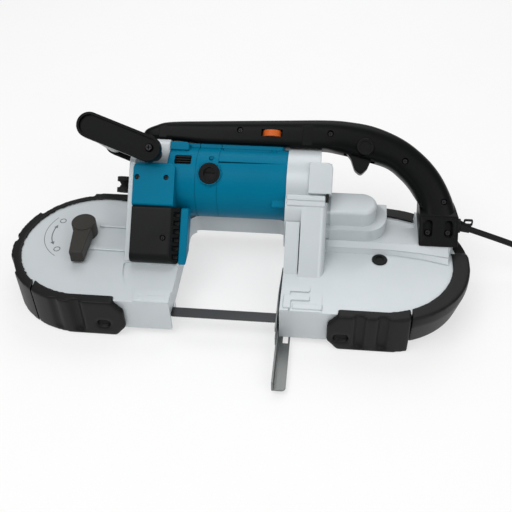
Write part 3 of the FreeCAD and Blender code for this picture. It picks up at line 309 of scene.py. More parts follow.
# The openings under the throat's back wall, its left wall and the corner between them.
GAPS = [((-60.5, 52.5, 58, 64.5), -2, 26), ((-67, -60.4, -56, 66), -2, 23),
        ((-66, -44, 44, 65), -3, 23)]
GAP_ROUND = 1
scoop = extruded(rounded(SCOOP_LINE, SCOOP_ROUND), DECK - SCOOP_DEPTH, DECK + DECK_CLEAR)
gaps = [extruded(oblong(*sides, GAP_ROUND), low, high) for sides, low, high in GAPS]
skinned("main_frame", enamel, edge=CAST_EDGE,
        cutters=[solid([cut], wheel_frame) for cut in (scoop, *gaps)])
RAIL_SINK, RAIL_RISE = 0.2, 2.0


def rail(start, end, half):
    """A straight low rib on the deck from start to end."""
    start, end = Vector(start), Vector(end)
    along = end - start
    side = Vector((-along.y, along.x)).normalized() * half
    corners = [start + side, start - side, end - side, end + side]
    return extruded([tuple(corner) for corner in corners], DECK - RAIL_SINK, DECK + RAIL_RISE)


deck_rails = [rail((-164, 32.8), (-124.4, 32.5), 2.4), rail((-168, -5.2), (-124.4, -5.9), 3.2)]
added("deck_rails", deck_rails, wheel_frame, enamel, edge=0.001)
RIB_LINE = [(57, -62.6), (57, -81.4), (65.6, -81.4), (65.6, -69.8), (85, -69.8), (85, -62.6)]
REAR_PLATE, FRONT_PLATE = (66.9, 98.4, -81.6, -73.8), (-96.5, -66.8, -81.6, -74)
GUARD_ROUND, GUARD_SINK = 2, 1.5
guard_rises = [(rounded(RIB_LINE, GUARD_ROUND), 3), (oblong(*REAR_PLATE, GUARD_ROUND), 2.4),
               (oblong(*FRONT_PLATE, GUARD_ROUND), 1.8)]
guards = [extruded(outline, DECK - GUARD_SINK, DECK + rise) for outline, rise in guard_rises]
added("deck_guards", guards, wheel_frame, enamel, edge=CAST_EDGE)
APRON_X, APRON_BACK = (100, 150, 172, 202, 232), 16
# The apron along the ridge: its near edge at those places, and the heights over the deck.
APRON_FOOT = (8.85, 8.85, 8.6, 4.6, -2.8)
APRON_STEP = (11.0, 11.0, 10.8, 8.0, 3.2)
APRON_TOP = (15.6, 15.5, 15.4, 15.2, 14.9)
apron_levels = [(APRON_FOOT, -0.1), (APRON_FOOT, 1.2), (APRON_STEP, 5), (APRON_STEP, 6.4),
                (APRON_TOP, 11.6)]
apron_rings = []
for near_edge, rise in apron_levels:
    outline = [*zip(APRON_X, near_edge), (APRON_X[-1], APRON_BACK), (APRON_X[0], APRON_BACK)]
    apron_rings.append([(x, y, DECK + rise) for x, y in outline])
added("ridge_apron", [lofted(apron_rings)], wheel_frame, enamel, edge=0.0008)

# Wheels: cast alloy discs with rubber tyres, turning on ball bearings on two steel stub axles.
# The rear axle is fixed in the deck. The front one sits in a steel slide on two rails, and a
# black plug closes the deck over the rear axle.
PLUG_RIM, PLUG_SINK, PLUG_CLEAR = 3.4, 1.2, 5
FINE_DISC = 40


def coat(finish, *nodes):
    """Gives nodes that keep their own shape a surface."""
    for node in nodes:
        for slot in frame["nodes"][node].material_slots:
            slot.link = "OBJECT"
            slot.material = finish.material


LINE_SCALE, LINE_DETAIL, LINE_SHADE, LINE_GLOSS, LINE_DEPTH = 500, 4, 0.86, 0.2, 0.0002


def metal(name, colour, roughness, stretch, scratch):
    """Bare metal, with the fine lines that its machining left."""
    finish = Finish(name, Metallic=1.0)
    lines = finish.noise(LINE_SCALE, LINE_DETAIL, stretch)
    shaded = tone(*[level * LINE_SHADE for level in colour])
    finish.surface(Base_Color=finish.blend(lines, shaded, tone(*colour)),
                   Roughness=lines * LINE_GLOSS + roughness)
    finish.bumps(lines, scratch, LINE_DEPTH)
    return finish


def disc(x, y, radius, count=28):
    turns = [2 * math.pi * step / count for step in range(count)]
    return [(x + radius * math.cos(turn), y + radius * math.sin(turn)) for turn in turns]


cast_metal = metal("cast_alloy", (176, 179, 182), 0.30, (1, 1, 1), 0.15)
bright_steel = metal("bright_steel", (206, 208, 211), 0.16, (0.06, 1, 1), 0.06)
tyre_rubber = coated("tyre_rubber", (20, 20, 21), (30, 30, 31), 0.55, 700, 0.25,
                     Specular_IOR_Level=0.2)
moulding = coated("black_moulding", (14, 15, 15), (22, 23, 23), 0.34, 1100, 0.16,
                  Specular_IOR_Level=0.16)
for end in ("front", "rear"):
    skinned(end + "_wheel", cast_metal, edge=0.0008)
    coat(tyre_rubber, end + "_tyre")
    coat(bright_steel, end + "_bearings", end + "_axle")
coat(bright_steel, "tension_slide", "slide_rails")
plug_low, plug_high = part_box("axle_plug")
plug_middle = (plug_low + plug_high) / 2
plug_place = Matrix.Translation((plug_middle.x, plug_middle.y, plug_high.z)) @ MILLIMETRES
plug_radius = (plug_high.x - plug_low.x) * 500
plug_dish = extruded(disc(0, 0, plug_radius - PLUG_RIM, FINE_DISC), -PLUG_SINK, PLUG_CLEAR)
skinned("axle_plug", moulding, edge=0.0012, cutters=[solid([plug_dish], plug_place)])

# Tension lever: a moulded handle on the shaft of a cam, which draws the front slide back to
# tighten the blade. The marks round it are printed on the deck: an arc for its swing, and a
# thicker one with an arrow at each end between two rings.
LEVER_X, LEVER_Y = -179.0, 18.0
HUB_X, HUB_Y, HUB_RADIUS = LEVER_X + 1.5, LEVER_Y + 0.5, 13.8
LEVER_LINE = [(-187.5, 14), (-181, -32.6), (-166.4, -31.4), (-166.2, 10)]
LEVER_ROUND = 2.2
PRINT_SINK, PRINT_RISE = 0.02, 0.05
SWING, SWING_HALF = 46, 0.35
ARROW, ARROW_HALF, ARROW_START, ARROW_END = 37.5, 0.6, 168, 206
ARROW_TIP, ARROW_WING = 8, 2.4
RING_SIZE, RING_BORE, HALF_RING = 4, 0.72, 172
lever_plastic = coated("lever_plastic", (44, 42, 39), (56, 53, 49), 0.40, 900, 0.2,
                       Specular_IOR_Level=0.25)
lever_hub = extruded(disc(HUB_X, HUB_Y, HUB_RADIUS, FINE_DISC), DECK + 0.2, DECK + 18.6)
lever_arm = extruded(rounded(LEVER_LINE, LEVER_ROUND), DECK + 3, DECK + 17.4)
added("lever_handle", [lever_hub, lever_arm], wheel_frame, lever_plastic,
      edge=0.0013, body="tension_lever", instead=["tension_lever"])


def arc(x, y, radius, start, end, steps):
    """Points round x, y from one angle to another, in degrees."""
    turns = [math.radians(start + (end - start) * step / steps) for step in range(steps + 1)]
    return [(x + radius * math.cos(turn), y + radius * math.sin(turn)) for turn in turns]


def arc_band(x, y, inner, outer, start, end, steps):
    """The outline of a part of a flat ring."""
    return arc(x, y, outer, start, end, steps) + arc(x, y, inner, start, end, steps)[::-1]


def printed(outline):
    return extruded(outline, DECK - PRINT_SINK, DECK + PRINT_RISE)


def swing_mark(radius, half, start, end):
    """A curved stripe round the lever's shaft."""
    return printed(arc_band(LEVER_X, LEVER_Y, radius - half, radius + half, start, end, steps=24))


def ring_mark(turn):
    """A printed ring, drawn as two half bands."""
    x = LEVER_X + ARROW * math.cos(math.radians(turn))
    y = LEVER_Y + ARROW * math.sin(math.radians(turn))
    bore = RING_SIZE * RING_BORE
    return [printed(arc_band(x, y, bore, RING_SIZE, first, first + HALF_RING, steps=12))
            for first in (0, 180)]


def arrow_head(turn, way):
    tip, base = math.radians(turn + way * ARROW_TIP), math.radians(turn)
    corners = [(ARROW, tip), (ARROW + ARROW_WING, base), (ARROW - ARROW_WING, base)]
    return printed([(LEVER_X + r * math.cos(t), LEVER_Y + r * math.sin(t)) for r, t in corners])


print_grey = coated("print_grey", (92, 96, 99), (108, 112, 115), 0.45, 900, 0.05)
marks = [swing_mark(SWING, SWING_HALF, 146, 238),
         swing_mark(ARROW, ARROW_HALF, ARROW_START, ARROW_END),
         arrow_head(ARROW_END, 1), arrow_head(ARROW_START, -1), *ring_mark(147), *ring_mark(228)]
added("tension_marks", marks, wheel_frame, print_grey)

# Blade: a welded loop of thin hardened steel over both wheels, turned flat between the guides.
# The teeth are milled along one edge and set; the loop is blued in its hardening, so it is dark.
BLADE_EDGE, BLADE_HEIGHT = -80.0, 25.0
TOOTH_PITCH, TOOTH_DEPTH, TOOTH_SPREAD, TOOTH_FLAT = 1.8, 1.0, 0.62, 0.34
ROW_LEFT, ROW_RIGHT = -60.0, 52.0
blued_steel = metal("blued_steel", (74, 75, 77), 0.30, (0.05, 1, 1), 0.1)
coat(blued_steel, "saw_blade")


class Growth:
    """A geometry tree with named sizes, which grows one piece."""

    def __init__(self, name):
        self.tree = bpy.data.node_groups.new(name, "GeometryNodeTree")
        for way in ("INPUT", "OUTPUT"):
            self.tree.interface.new_socket("Geometry", in_out=way,
                                           socket_type="NodeSocketGeometry")
        self.sizes = {}
        self.start = self.tree.nodes.new("NodeGroupInput")
        self.end = self.tree.nodes.new("NodeGroupOutput")

    def size(self, name, number, kind="Float"):
        socket = self.tree.interface.new_socket(name, in_out="INPUT",
                                                socket_type="NodeSocket" + kind)
        self.sizes[socket.identifier] = number
        return self.start.outputs[socket.identifier]

    def node(self, kind, settings, out=0, **fed):
        made = self.tree.nodes.new(kind)
        for key, setting in settings.items():
            setattr(made, key, setting)
        for name, value in fed.items():
            name = name.replace("_", " ")
            socket = made.inputs[int(name)] if name.isdigit() else made.inputs[name]
            if isinstance(value, bpy.types.NodeSocket):
                self.tree.links.new(value, socket)
            else:
                socket.default_value = value
        return made.outputs[out]

    def piece(self, name, grown, points, finish, place):
        """Grows the tree on bare points and makes the result a plain mesh in its place."""
        real = self.node("GeometryNodeRealizeInstances", {}, Geometry=grown)
        painted = self.node("GeometryNodeSetMaterial", {}, Geometry=real, Material=finish.material)
        self.tree.links.new(painted, self.end.inputs[0])
        mesh = bpy.data.meshes.new(name)
        mesh.from_pydata(points, [], [])
        made = bpy.data.objects.new(name, mesh)
        scene.collection.objects.link(made)
        modifier = made.modifiers.new("growth", "NODES")
        modifier.node_group = self.tree
        for identifier, number in self.sizes.items():
            modifier[identifier] = number
        plain_mesh(made)
        made.data.transform(place)
        made.data.update()
        return made


teeth = Growth("blade_teeth")
pitch = teeth.size("Pitch", TOOTH_PITCH)
depth = teeth.size("Depth", TOOTH_DEPTH)
tooth_count = teeth.size("Count", round((ROW_RIGHT - ROW_LEFT) / TOOTH_PITCH), "Int")
tooth_step = teeth.node("ShaderNodeCombineXYZ", {}, X=pitch)
tooth_row = teeth.node("GeometryNodeMeshLine", {"mode": "OFFSET"}, Count=tooth_count,
                       Offset=tooth_step, Start_Location=(ROW_LEFT, BLADE_EDGE, BLADE_HEIGHT))
tooth_radius = teeth.node("ShaderNodeMath", {"operation": "MULTIPLY"},
                          **{"0": pitch, "1": TOOTH_SPREAD})
tooth = teeth.node("GeometryNodeMeshCone", {"fill_type": "NGON"}, Vertices=4, Side_Segments=1,
                   Radius_Top=0.0, Radius_Bottom=tooth_radius, Depth=depth)
grown = teeth.node("GeometryNodeInstanceOnPoints", {}, Points=tooth_row, Instance=tooth,
                   Rotation=(math.radians(90), 0, 0), Scale=(1, TOOTH_FLAT, 1))
blade_teeth = teeth.piece("blade_teeth", grown, [(0, 0, 0)], blued_steel, wheel_frame)
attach(blade_teeth, "frame")

# Blade guides: a steel block at each side of the throat, with two rollers on the blade's faces
# and one behind its back. They are screwed up into the frame.
for end in ("front", "rear"):
    skinned(end + "_guide_holder", cast_metal, edge=0.0008)
    coat(bright_steel, *[f"{end}_{place}_roller" for place in ("upper", "lower", "back")])

# Stop plate: a bent strip of zinc-plated steel that the work is held against. Two shouldered
# bolts in its slots let it slide.
FLANGE_LINE = [(10, 8), (10, 19), (-45, 36), (-97, 36), (-97, 29), (-63, 29), (-63, 20),
               (-97, 20), (-97, 8)]
FLANGE_LEFT, FLANGE_RIGHT = 50.4, 52.0
# Zinc-plated steel, its colour darkened below bare zinc: a painted reflection of the dark
# surroundings that the plate mirrors.
zinc_plate_painted_reflection = metal("zinc_plate_painted_reflection", (138, 141, 140), 0.34, (1, 0.12, 1), 0.06)
skinned("stop_plate", zinc_plate_painted_reflection, edge=0.0005)
coat(bright_steel, "stop_bolts")
lengthways = wheel_frame @ Matrix(((0, 0, 1, 0), (1, 0, 0, 0), (0, 1, 0, 0), (0, 0, 0, 1)))
added("stop_flange", [extruded(FLANGE_LINE, FLANGE_LEFT, FLANGE_RIGHT)], lengthways, zinc_plate_painted_reflection,
      edge=0.0003, body="stop_plate")

# Drive: a universal motor, a pair of spur gears to the countershaft, a bevel pair to the lay
# shaft, and a pinion on the large gear under the rear wheel. All turn in ball bearings.
laminations = metal("laminations", (120, 122, 126), 0.34, (14, 1, 1), 0.3)
brass = metal("brass", (202, 170, 96), 0.24, (1, 1, 1), 0.08)
fan_plastic = coated("fan_plastic", (60, 60, 62), (74, 74, 76), 0.4, 900, 0.1)
coat(bright_steel, "drive_gear", "lay_shaft", "countershaft", "drive_bearings")
coat(laminations, "armature", "stator")
coat(fan_plastic, "fan")
coat(brass, "brushes")

# Front bracket: a cast web on the front deck with the block that carries the motor's nose.
# Cast with the frame's alloy and sprayed with the same enamel.
skinned("front_bracket", enamel, edge=CAST_EDGE)

# Motor housing: a teal moulding round the motor, lying back at 45 degrees over the throat.
# It has a raised pad and a dark inlet at its front end, a parting groove round each joint, and
# a screwed brush cap in an eight-sided seat on each flank.
UNIT_Y, UNIT_Z, LEAN = 70.7, 90.7, math.sqrt(0.5)
UNIT_CLEAR = 60
MOTOR_RADIUS = 39.5
GROOVES, GROOVE_HALF, GROOVE_DEPTH, GROOVE_CLEAR = (-24.5, -49.0), 0.35, 0.5, 6
INLET, INLET_ROUND, INLET_FLOOR = (-74.0, -55.0, 14.0, 25.0), 2, 27.5
SLATS, SLAT_LOW, SLAT_WIDE, SLAT_PITCH, SLAT_PLAY = 4, 14.4, 1.6, 2.7, 0.3
CAP_X, CAP_P = -33.0, 4.3
PAD_LINE = [(-81.4, 31.5), (-60, 31.5), (-60, 39.2), (-63, 40.8), (-81.4, 40.8)]
unit_frame = MILLIMETRES @ Matrix(((1, 0, 0, 0), (0, LEAN, -LEAN, UNIT_Y + WHEEL_LINE),
                                   (0, LEAN, LEAN, UNIT_Z), (0, 0, 0, 1)))
along_unit = unit_frame @ Matrix(((0, 0, 1, 0), (0, 1, 0, 0), (1, 0, 0, 0), (0, 0, 0, 1)))


def groove(x):
    """A parting groove round the barrel, cut as two half rings."""
    bed, rim = MOTOR_RADIUS - GROOVE_DEPTH, MOTOR_RADIUS + GROOVE_CLEAR
    halves = [arc_band(0, 0, bed, rim, first, first + 180, steps=40) for first in (0, 180)]
    return [solid([extruded(outline, x - GROOVE_HALF, x + GROOVE_HALF)], along_unit)
            for outline in halves]


def bored(outline, floor):
    """A hole in the unit's near side, down to the floor."""
    return extruded(outline, floor, UNIT_CLEAR)


teal = coated("teal_moulding", (0, 104, 136), (0, 120, 152), 0.30, 1200, 0.12,
              Specular_IOR_Level=0.05)
motor_cuts = [
    bored(oblong(*INLET, INLET_ROUND), INLET_FLOOR),
    bored(disc(CAP_X, 22.6, 2.9), 29.5),
    bored(oblong(-23, 33, 33.6, 36.8, 1.2), 14.0),
    bored(oblong(37, 51, 34.0, 36.4, 1.0), 15.0),
]
barrel_grooves = [half_ring for x in GROOVES for half_ring in groove(x)]
skinned("motor_housing", teal, edge=0.0009,
        cutters=[solid(motor_cuts, unit_frame), *barrel_grooves])
inlet_black = coated("inlet_black", (16, 18, 17), (26, 28, 27), 0.5, 700, 0.3,
                     Specular_IOR_Level=0.2)
slats = []
for row in range(SLATS):
    low = SLAT_LOW + SLAT_PITCH * row
    bar = oblong(INLET[0] + SLAT_PLAY, INLET[1] - SLAT_PLAY, low, low + SLAT_WIDE, 0.5)
    slats.append(extruded(bar, 26.8, 29.6))
added("inlet_slats", slats, unit_frame, inlet_black, edge=0.0002)
pad = extruded(rounded(PAD_LINE, 1.5), 4, 26.2)
tab = extruded(oblong(36.5, 51.6, -28.6, -20.6, 2), 20, 33.4)
added("motor_pads", [pad, tab], unit_frame, teal, edge=0.0011)
seat_ring = extruded(disc(CAP_X, CAP_P, 15.0, 8), 33.5, 39.9)
seat_bore = bored(disc(CAP_X, CAP_P, 12.9, FINE_DISC), 30)
added("brush_seat", [seat_ring], unit_frame, teal, edge=0.0008,
      cutters=[solid([seat_bore], unit_frame)])
cap_plastic = coated("cap_plastic", (9, 8, 8), (15, 13, 13), 0.36, 1000, 0.1,
                     Specular_IOR_Level=0.12)
cap_dish = bored(disc(CAP_X, CAP_P, 6.6, FINE_DISC), 41.0)
coin_slot = bored(oblong(CAP_X - 6.0, CAP_X + 6.0, CAP_P - 0.9, CAP_P + 0.9, 0.7), 39.8)
skinned("brush_caps", cap_plastic, edge=0.0008,
        cutters=[solid([cut], unit_frame) for cut in (cap_dish, coin_slot)])
cap_ring = extruded(disc(CAP_X, CAP_P, 11.9, FINE_DISC), 34.0, 43.0)
ring_bore = bored(disc(CAP_X, CAP_P, 9.3, FINE_DISC), 30)
added("cap_ring", [cap_ring], unit_frame, cap_plastic, edge=0.0008,
      cutters=[solid([ring_bore], unit_frame)])

# Gear housing: the silver collar behind the motor, the cover over the first gears and the leg
# down to the rear deck, cast in one. The gear case is a separate domed cover bolted on the deck.
LEG_RIGHT, LEG_FACE, LEG_BEVEL = 97.8, 43.2, 0.0075
NEAR_RIGHT, NEAR_FACE = 0.6, 1.2
COVER_LINE = [(76, -13), (102, -13), (102, 17), (98, 21.5), (76, 21.5)]


def leg_edge(edge):
    """The long corner at the right of the leg's face."""
    for corner in edge.verts:
        local = unit_frame.inverted() @ corner.co
        if abs(local.x - LEG_RIGHT) > NEAR_RIGHT or abs(local.z - LEG_FACE) > NEAR_FACE:
            return False
    return True


skinned("gear_housing", enamel, edge=0.0012, wide=(leg_edge, LEG_BEVEL))
band = extruded(oblong(53.4, 95.5, -27, -14.8, 2), 33, 44.4)
band_groove = bored(oblong(52, 97, -21.6, -20.2, 0.3), 43.2)
added("collar_band", [band], unit_frame, enamel, edge=0.0013,
      cutters=[solid([band_groove], unit_frame)])
cover_plate = extruded(rounded(COVER_LINE, 2), 18, 43.9)
added("gear_cover", [cover_plate], unit_frame, enamel, edge=0.0014)
neck = extruded(oblong(25.5, 58, 60.3, 92, 3), 94, 104)
neck_foot = extruded(oblong(17, 66, 60.2, 74.8, 2), 94, 103)
added("case_neck", [neck, neck_foot], lengthways, enamel, edge=CAST_EDGE)
# Painted shade: a small black block on the collar stands in for the shadow inside a slot there.
collar_slot_shade = extruded(oblong(95.8, 99, -22, -12.5, 1), 36, 44.2)
added("collar_slot_shade", [collar_slot_shade], unit_frame, moulding, edge=0.0004)
skinned("gear_case", enamel, edge=0.0014)

# Handle: two black mouldings screwed together along the saw's middle, hollow for the switch.
# Two shallow bands run over the bow where the soft grip begins and ends, and the screws sit in
# round pockets.
HANDLE_HALF = 18.0
HANDLE_SCREWS = [(-4.5, 58.0), (180.7, 30.8), (225.0, -12.2), (97.0, 58.0)]
POCKET_CLEAR = 10
LOCK = (136.3, 44.5)
# Stations along the bow: a point on its upper and on its lower line, half its width there, and
# how square its lower half is.
BOW = [
    (-117, 50, -117, 45, 9, 5), (-113.5, 56.5, -113.5, 44.9, 14, 5),
    (-103, 61.6, -103, 44.8, 17, 6), (-86, 66.4, -86, 44.6, 18, 7),
    (-40, 69.2, -40, 41.7, 18, 7), (4, 71.4, 4, 41.7, 18, 7),
    (50, 73.6, 50, 41.7, 18, 7), (90, 75.3, 88, 41.7, 18, 6),
    (116, 74.6, 106, 38.6, 18, 3), (146, 70, 134, 32.3, 18, 3),
    (177, 57.8, 161, 25.2, 18, 3), (201, 41, 177, 14, 18, 3),
    (219, 22, 189, 1.5, 18, 3), (232, 0, 197, -11.5, 18, 3),
    (240, -21, 201.3, -22, 18, 3.4), (243.8, -38, 203, -36, 18, 4),
    (244.8, -58, 203.2, -58, 18, 4),
]
ROUND_TOP, SEAM = 2.7, 0.05
BOW_RINGS, BOW_ARCS = 110, 26
BANDS, BAND_DEPTH, BAND_CLEAR = [(66, 77, 44, 72), (-97, -88, 47, 62)], 1.1, 5
BOOT_SEAT, BOOT_SEAT_TOP = (150, 260, -120, 160), 84


def along_bow(share):
    """The bow's outline points and section at a share of its length, by a curve through the
    stations."""
    place = share * (len(BOW) - 1)
    index = min(int(place), len(BOW) - 2)
    f = place - index
    four = [BOW[min(max(index + step, 0), len(BOW) - 1)] for step in (-1, 0, 1, 2)]
    return [0.5 * (2 * b + (c - a) * f + (2 * a - 5 * b + 4 * c - d) * f * f
                   + (3 * b - a - 3 * c + d) * f ** 3)
            for a, b, c, d in zip(*four)]


def bow_half(way):
    """One half of the bow, from the seam outwards."""
    rings = []
    for station in range(BOW_RINGS + 1):
        top_x, top_p, low_x, low_p, half, lower = along_bow(station / BOW_RINGS)
        ring = []
        for spot in range(BOW_ARCS + 1):
            turn = math.radians(-90 + 180 * spot / BOW_ARCS)
            power = 2 / (ROUND_TOP if turn > 0 else lower)
            rise = math.copysign(abs(math.sin(turn)) ** power, turn) / 2 + 0.5
            out = SEAM + (half - SEAM) * abs(math.cos(turn)) ** power
            x, p = low_x + (top_x - low_x) * rise, low_p + (top_p - low_p) * rise
            ring.append((x, p, way * out))
        rings.append(ring)
    return lofted(rings)


def screw_pockets(places, radius, floor, top):
    return solid([extruded(disc(x, p, radius), floor, top) for x, p in places], unit_frame)


handle_black = coated("handle_black", (7, 8, 8), (13, 14, 14), 0.28, 1500, 0.12,
                      Specular_IOR_Level=0.1)


def handle_cuts(way):
    """The room for the switch, trigger, dial and lock, and the plane on which the boot sits."""
    window = 20 if way > 0 else 3
    hollows = [(104, 150.4, 47, 60.5, 12), (150, 160, 47, 58, 12), (113, 148, 15, 48, 8.4),
               (19.7, 43.3, 52, 60, window)]
    cuts = []
    for *sides, depth in hollows:
        low, high = sorted((way * depth, -way))
        cuts.append(solid([extruded(square(*sides), low, high)], unit_frame))
    cuts.append(solid([extruded(square(*BOOT_SEAT), -30, BOOT_SEAT_TOP)], wheel_frame))
    return cuts


near_top, far_top = HANDLE_HALF + POCKET_CLEAR, -HANDLE_HALF - POCKET_CLEAR
near_pockets = screw_pockets(HANDLE_SCREWS, 3.6, HANDLE_HALF - 4.5, near_top)
lock_hole = screw_pockets([LOCK], 9.6, 9, near_top)
far_pockets = screw_pockets(HANDLE_SCREWS, 3.2, far_top, -HANDLE_HALF + 2.5)
band_rings = [extruded(oblong(*sides, 0.4), HANDLE_HALF - BAND_DEPTH, HANDLE_HALF + BAND_CLEAR)
              for sides in BANDS]
near_cuts = [*handle_cuts(1), near_pockets, lock_hole, solid(band_rings, unit_frame)]
added("bow_near", [bow_half(1)], unit_frame, handle_black, cutters=near_cuts,
      instead=["handle_near"])
added("bow_far", [bow_half(-1)], unit_frame, handle_black,
      cutters=[*handle_cuts(-1), far_pockets], instead=["handle_far"])
HEAD_TAPER, HEAD_CREASE = 0.72, math.radians(30)
RECESS_LONG, RECESS_WIDE, RECESS_LIFT = 1.1, 0.26, 0.9
black_screw = metal("black_screw", (52, 52, 54), 0.36, (1, 1, 1), 0.1)


def screw_set(name, places, radius, height):
    """Blackened pan-head screws with a cross recess, one on each point of the unit."""
    screws = Growth(name)
    head_radius = screws.size("Head radius", radius)
    head_height = screws.size("Head height", height)
    head = screws.node("GeometryNodeMeshCone", {"fill_type": "NGON"}, Vertices=24,
                       Radius_Bottom=head_radius, Radius_Top=radius * HEAD_TAPER,
                       Depth=head_height)
    length, width = radius * RECESS_LONG, radius * RECESS_WIDE
    for size in ((length, width, height), (width, length, height)):
        bar = screws.node("GeometryNodeMeshCube", {}, Size=size)
        bar = screws.node("GeometryNodeTransform", {}, Geometry=bar,
                          Translation=(0, 0, height * RECESS_LIFT))
        head = screws.node("GeometryNodeMeshBoolean",
                           {"operation": "DIFFERENCE", "solver": "FLOAT"},
                           **{"0": head, "1": bar})
    grown = screws.node("GeometryNodeInstanceOnPoints", {}, Points=screws.start.outputs[0],
                        Instance=head)
    made = screws.piece(name, grown, places, black_screw, unit_frame)
    made.data.shade_smooth()
    made.data.set_sharp_from_angle(angle=HEAD_CREASE)
    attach(made, "frame")


screw_set("handle_screws", [(x, p, HANDLE_HALF - 3.9) for x, p in HANDLE_SCREWS], 3.3, 1.6)

# Controls: a long trigger under the bow, its lock button, and an orange speed wheel in a window
# in the near flank. Each is a separate moulding held between the handle halves.
trigger_black = coated("trigger_black", (9, 10, 10), (15, 16, 16), 0.28, 1000, 0.1,
                       Specular_IOR_Level=0.12)
orange = coated("orange_moulding", (196, 88, 30), (214, 104, 42), 0.36, 900, 0.1,
                Specular_IOR_Level=0.2)
skinned("trigger", trigger_black, edge=0.0012)
thumb_dish = screw_pockets([LOCK], 6.6, 19.2, near_top)
skinned("lock_button", trigger_black, edge=0.001, cutters=[thumb_dish])
skinned("speed_dial", orange, edge=0.0005)
coat(moulding, "switch_body")

# Boot: the black block at the handle's heel, moulded in two halves and screwed through two deep
# pockets. The cord comes out of its rear.
BOOT_SCREWS = [(209.2, -46.5), (231.0, -46.0)]
BOOT_POCKET, BOOT_FLOOR, BOOT_CLEAR = 4.4, 12, 40
boot_pockets = [extruded(oblong(x - BOOT_POCKET, x + BOOT_POCKET, -52, -33, 4.3), BOOT_FLOOR,
                         BOOT_CLEAR) for x, _ in BOOT_SCREWS]
skinned("boot", handle_black, edge=0.0028, cutters=[solid(boot_pockets, unit_frame)])
screw_set("boot_screws", [(x, p, BOOT_FLOOR + 0.9) for x, p in BOOT_SCREWS], 3.6, 1.8)

# Front handle: a light grey tube between two black arms, clamped to the bracket by a cross bolt.
# The arms are mouldings with a sunk panel inside a raised rim.
ARM_END, ARM_ROOT, ARM_RADIUS = Vector((-165, 49)), Vector((-99, 26)), 14.3
ARM_RIM, ARM_PANEL, ARM_CLEAR = 2.8, 58.6, 80


def arm_panel(low, high):
    along = (ARM_ROOT - ARM_END).normalized()
    side = Vector((-along.y, along.x))
    radius = ARM_RADIUS - ARM_RIM
    outline = []
    for centre, first in ((ARM_ROOT, -90), (ARM_END, 90)):
        for step in range(13):
            turn = math.radians(first + 15 * step)
            way = along * math.cos(turn) + side * math.sin(turn)
            outline.append(tuple(centre + way * radius))
    return extruded(outline, low, high)


arm_black = coated("arm_black", (6, 7, 7), (12, 13, 13), 0.26, 1500, 0.12,
                   Specular_IOR_Level=0.07)
arm_cuts = [arm_panel(ARM_PANEL, ARM_CLEAR), arm_panel(-ARM_CLEAR, -ARM_PANEL)]
skinned("front_handle", arm_black, edge=0.0016, cutters=[solid(arm_cuts, unit_frame)])
screw_set("arm_bolt", [(ARM_ROOT.x + 1.5, ARM_ROOT.y + 1, ARM_PANEL + 1.0)], 4.6, 2.6)
pale_grip = coated("pale_grip", (188, 191, 192), (206, 208, 209), 0.42, 800, 0.18)
skinned("front_grip", pale_grip, edge=0.0012)

# Covers at the front: a teal box beside the motor's nose, a black vent cover that leans down to
# the deck with louvres along its edge, a teal rib behind it and a rubber stud on the bracket.
BOX_SCREWS, BOX_FACE = [(-112.4, -3.3), (-79.9, -2.7)], 45.5
BOX_LEFT, BOX_RIGHT, BOX_TOP, BOX_ROUND, BOX_BACK = -116.8, -70.5, 14.0, 8.0, 15
VENT_SCREW, VENT_FACE, VENT_FOOT, VENT_ROUND = (-79.5, -69.2), 47.0, -97.0, 10.0
VENT_LEFT, VENT_RIGHT = -125, -55


def waste(x, y, way_x, way_y, radius):
    """What is taken off an outer corner at x, y to round it: the corner lies that way from the
    piece."""
    middle_x, middle_y = x - way_x * radius, y - way_y * radius
    turns = [math.radians(90 * step / 10) for step in range(11)]
    curve = [(middle_x + way_x * radius * math.cos(turn),
              middle_y + way_y * radius * math.sin(turn)) for turn in turns]
    return [*curve, (middle_x, y + way_y), (x + way_x, y + way_y), (x + way_x, middle_y)]


box_holes = screw_pockets(BOX_SCREWS, 3.0, BOX_FACE - 5, BOX_FACE + POCKET_CLEAR)
box_rounds = [solid([bored(waste(x, BOX_TOP, way, 1, BOX_ROUND), BOX_BACK)], unit_frame)
              for x, way in ((BOX_LEFT, -1), (BOX_RIGHT, 1))]
skinned("front_box", teal, edge=0.0022, cutters=[box_holes, *box_rounds])
screw_set("box_screws", [(x, p, BOX_FACE - 4.4) for x, p in BOX_SCREWS], 2.8, 1.4)
vent_dimple = screw_pockets([VENT_SCREW], 3.4, VENT_FACE - 2.4, VENT_FACE + POCKET_CLEAR)
vent_corner = waste(VENT_FACE, VENT_FOOT, 1, -1, VENT_ROUND)
vent_round = solid([extruded(vent_corner, VENT_LEFT, VENT_RIGHT)], along_unit)
skinned("vent_cover", moulding, edge=0.0022, cutters=[vent_dimple, vent_round])
screw_set("vent_screw", [(*VENT_SCREW, VENT_FACE - 1.9)], 2.8, 1.4)
skinned("front_rib", teal, edge=0.0014)
skinned("rubber_stud", tyre_rubber, edge=0.001)

# Bumpers: thick black rubber bands pressed round both ends of the casting, with a lip over its
# edge. The near corners are separate blocks with finger grooves and an oval locating recess, and
# the rear band is undercut towards its foot.
BUMPER_NEAR = -91.0
RUBBER_GRAIN, RUBBER_PASSES, RIM_PASSES = 0.0014, 14, 8
# The oval's left and right end, and the middle of each finger groove.
CORNER_BLOCKS = {
    "front_corner_bumper": (-141.5, -127.5, -186, -162),
    "rear_corner_bumper": (111, 127, 138, 162),
}
OVAL_LOW, OVAL_HIGH, OVAL_ROUND, OVAL_DEPTH, OVAL_CLEAR = 12, 23, 5, 5, 20
FINGER_RADIUS, FINGER_OUT, FINGER_LOW = 7, 2.4, 5
BUMPER_CLEAR = 70
FRONT_X, RIM_OUT = -164.0, 120
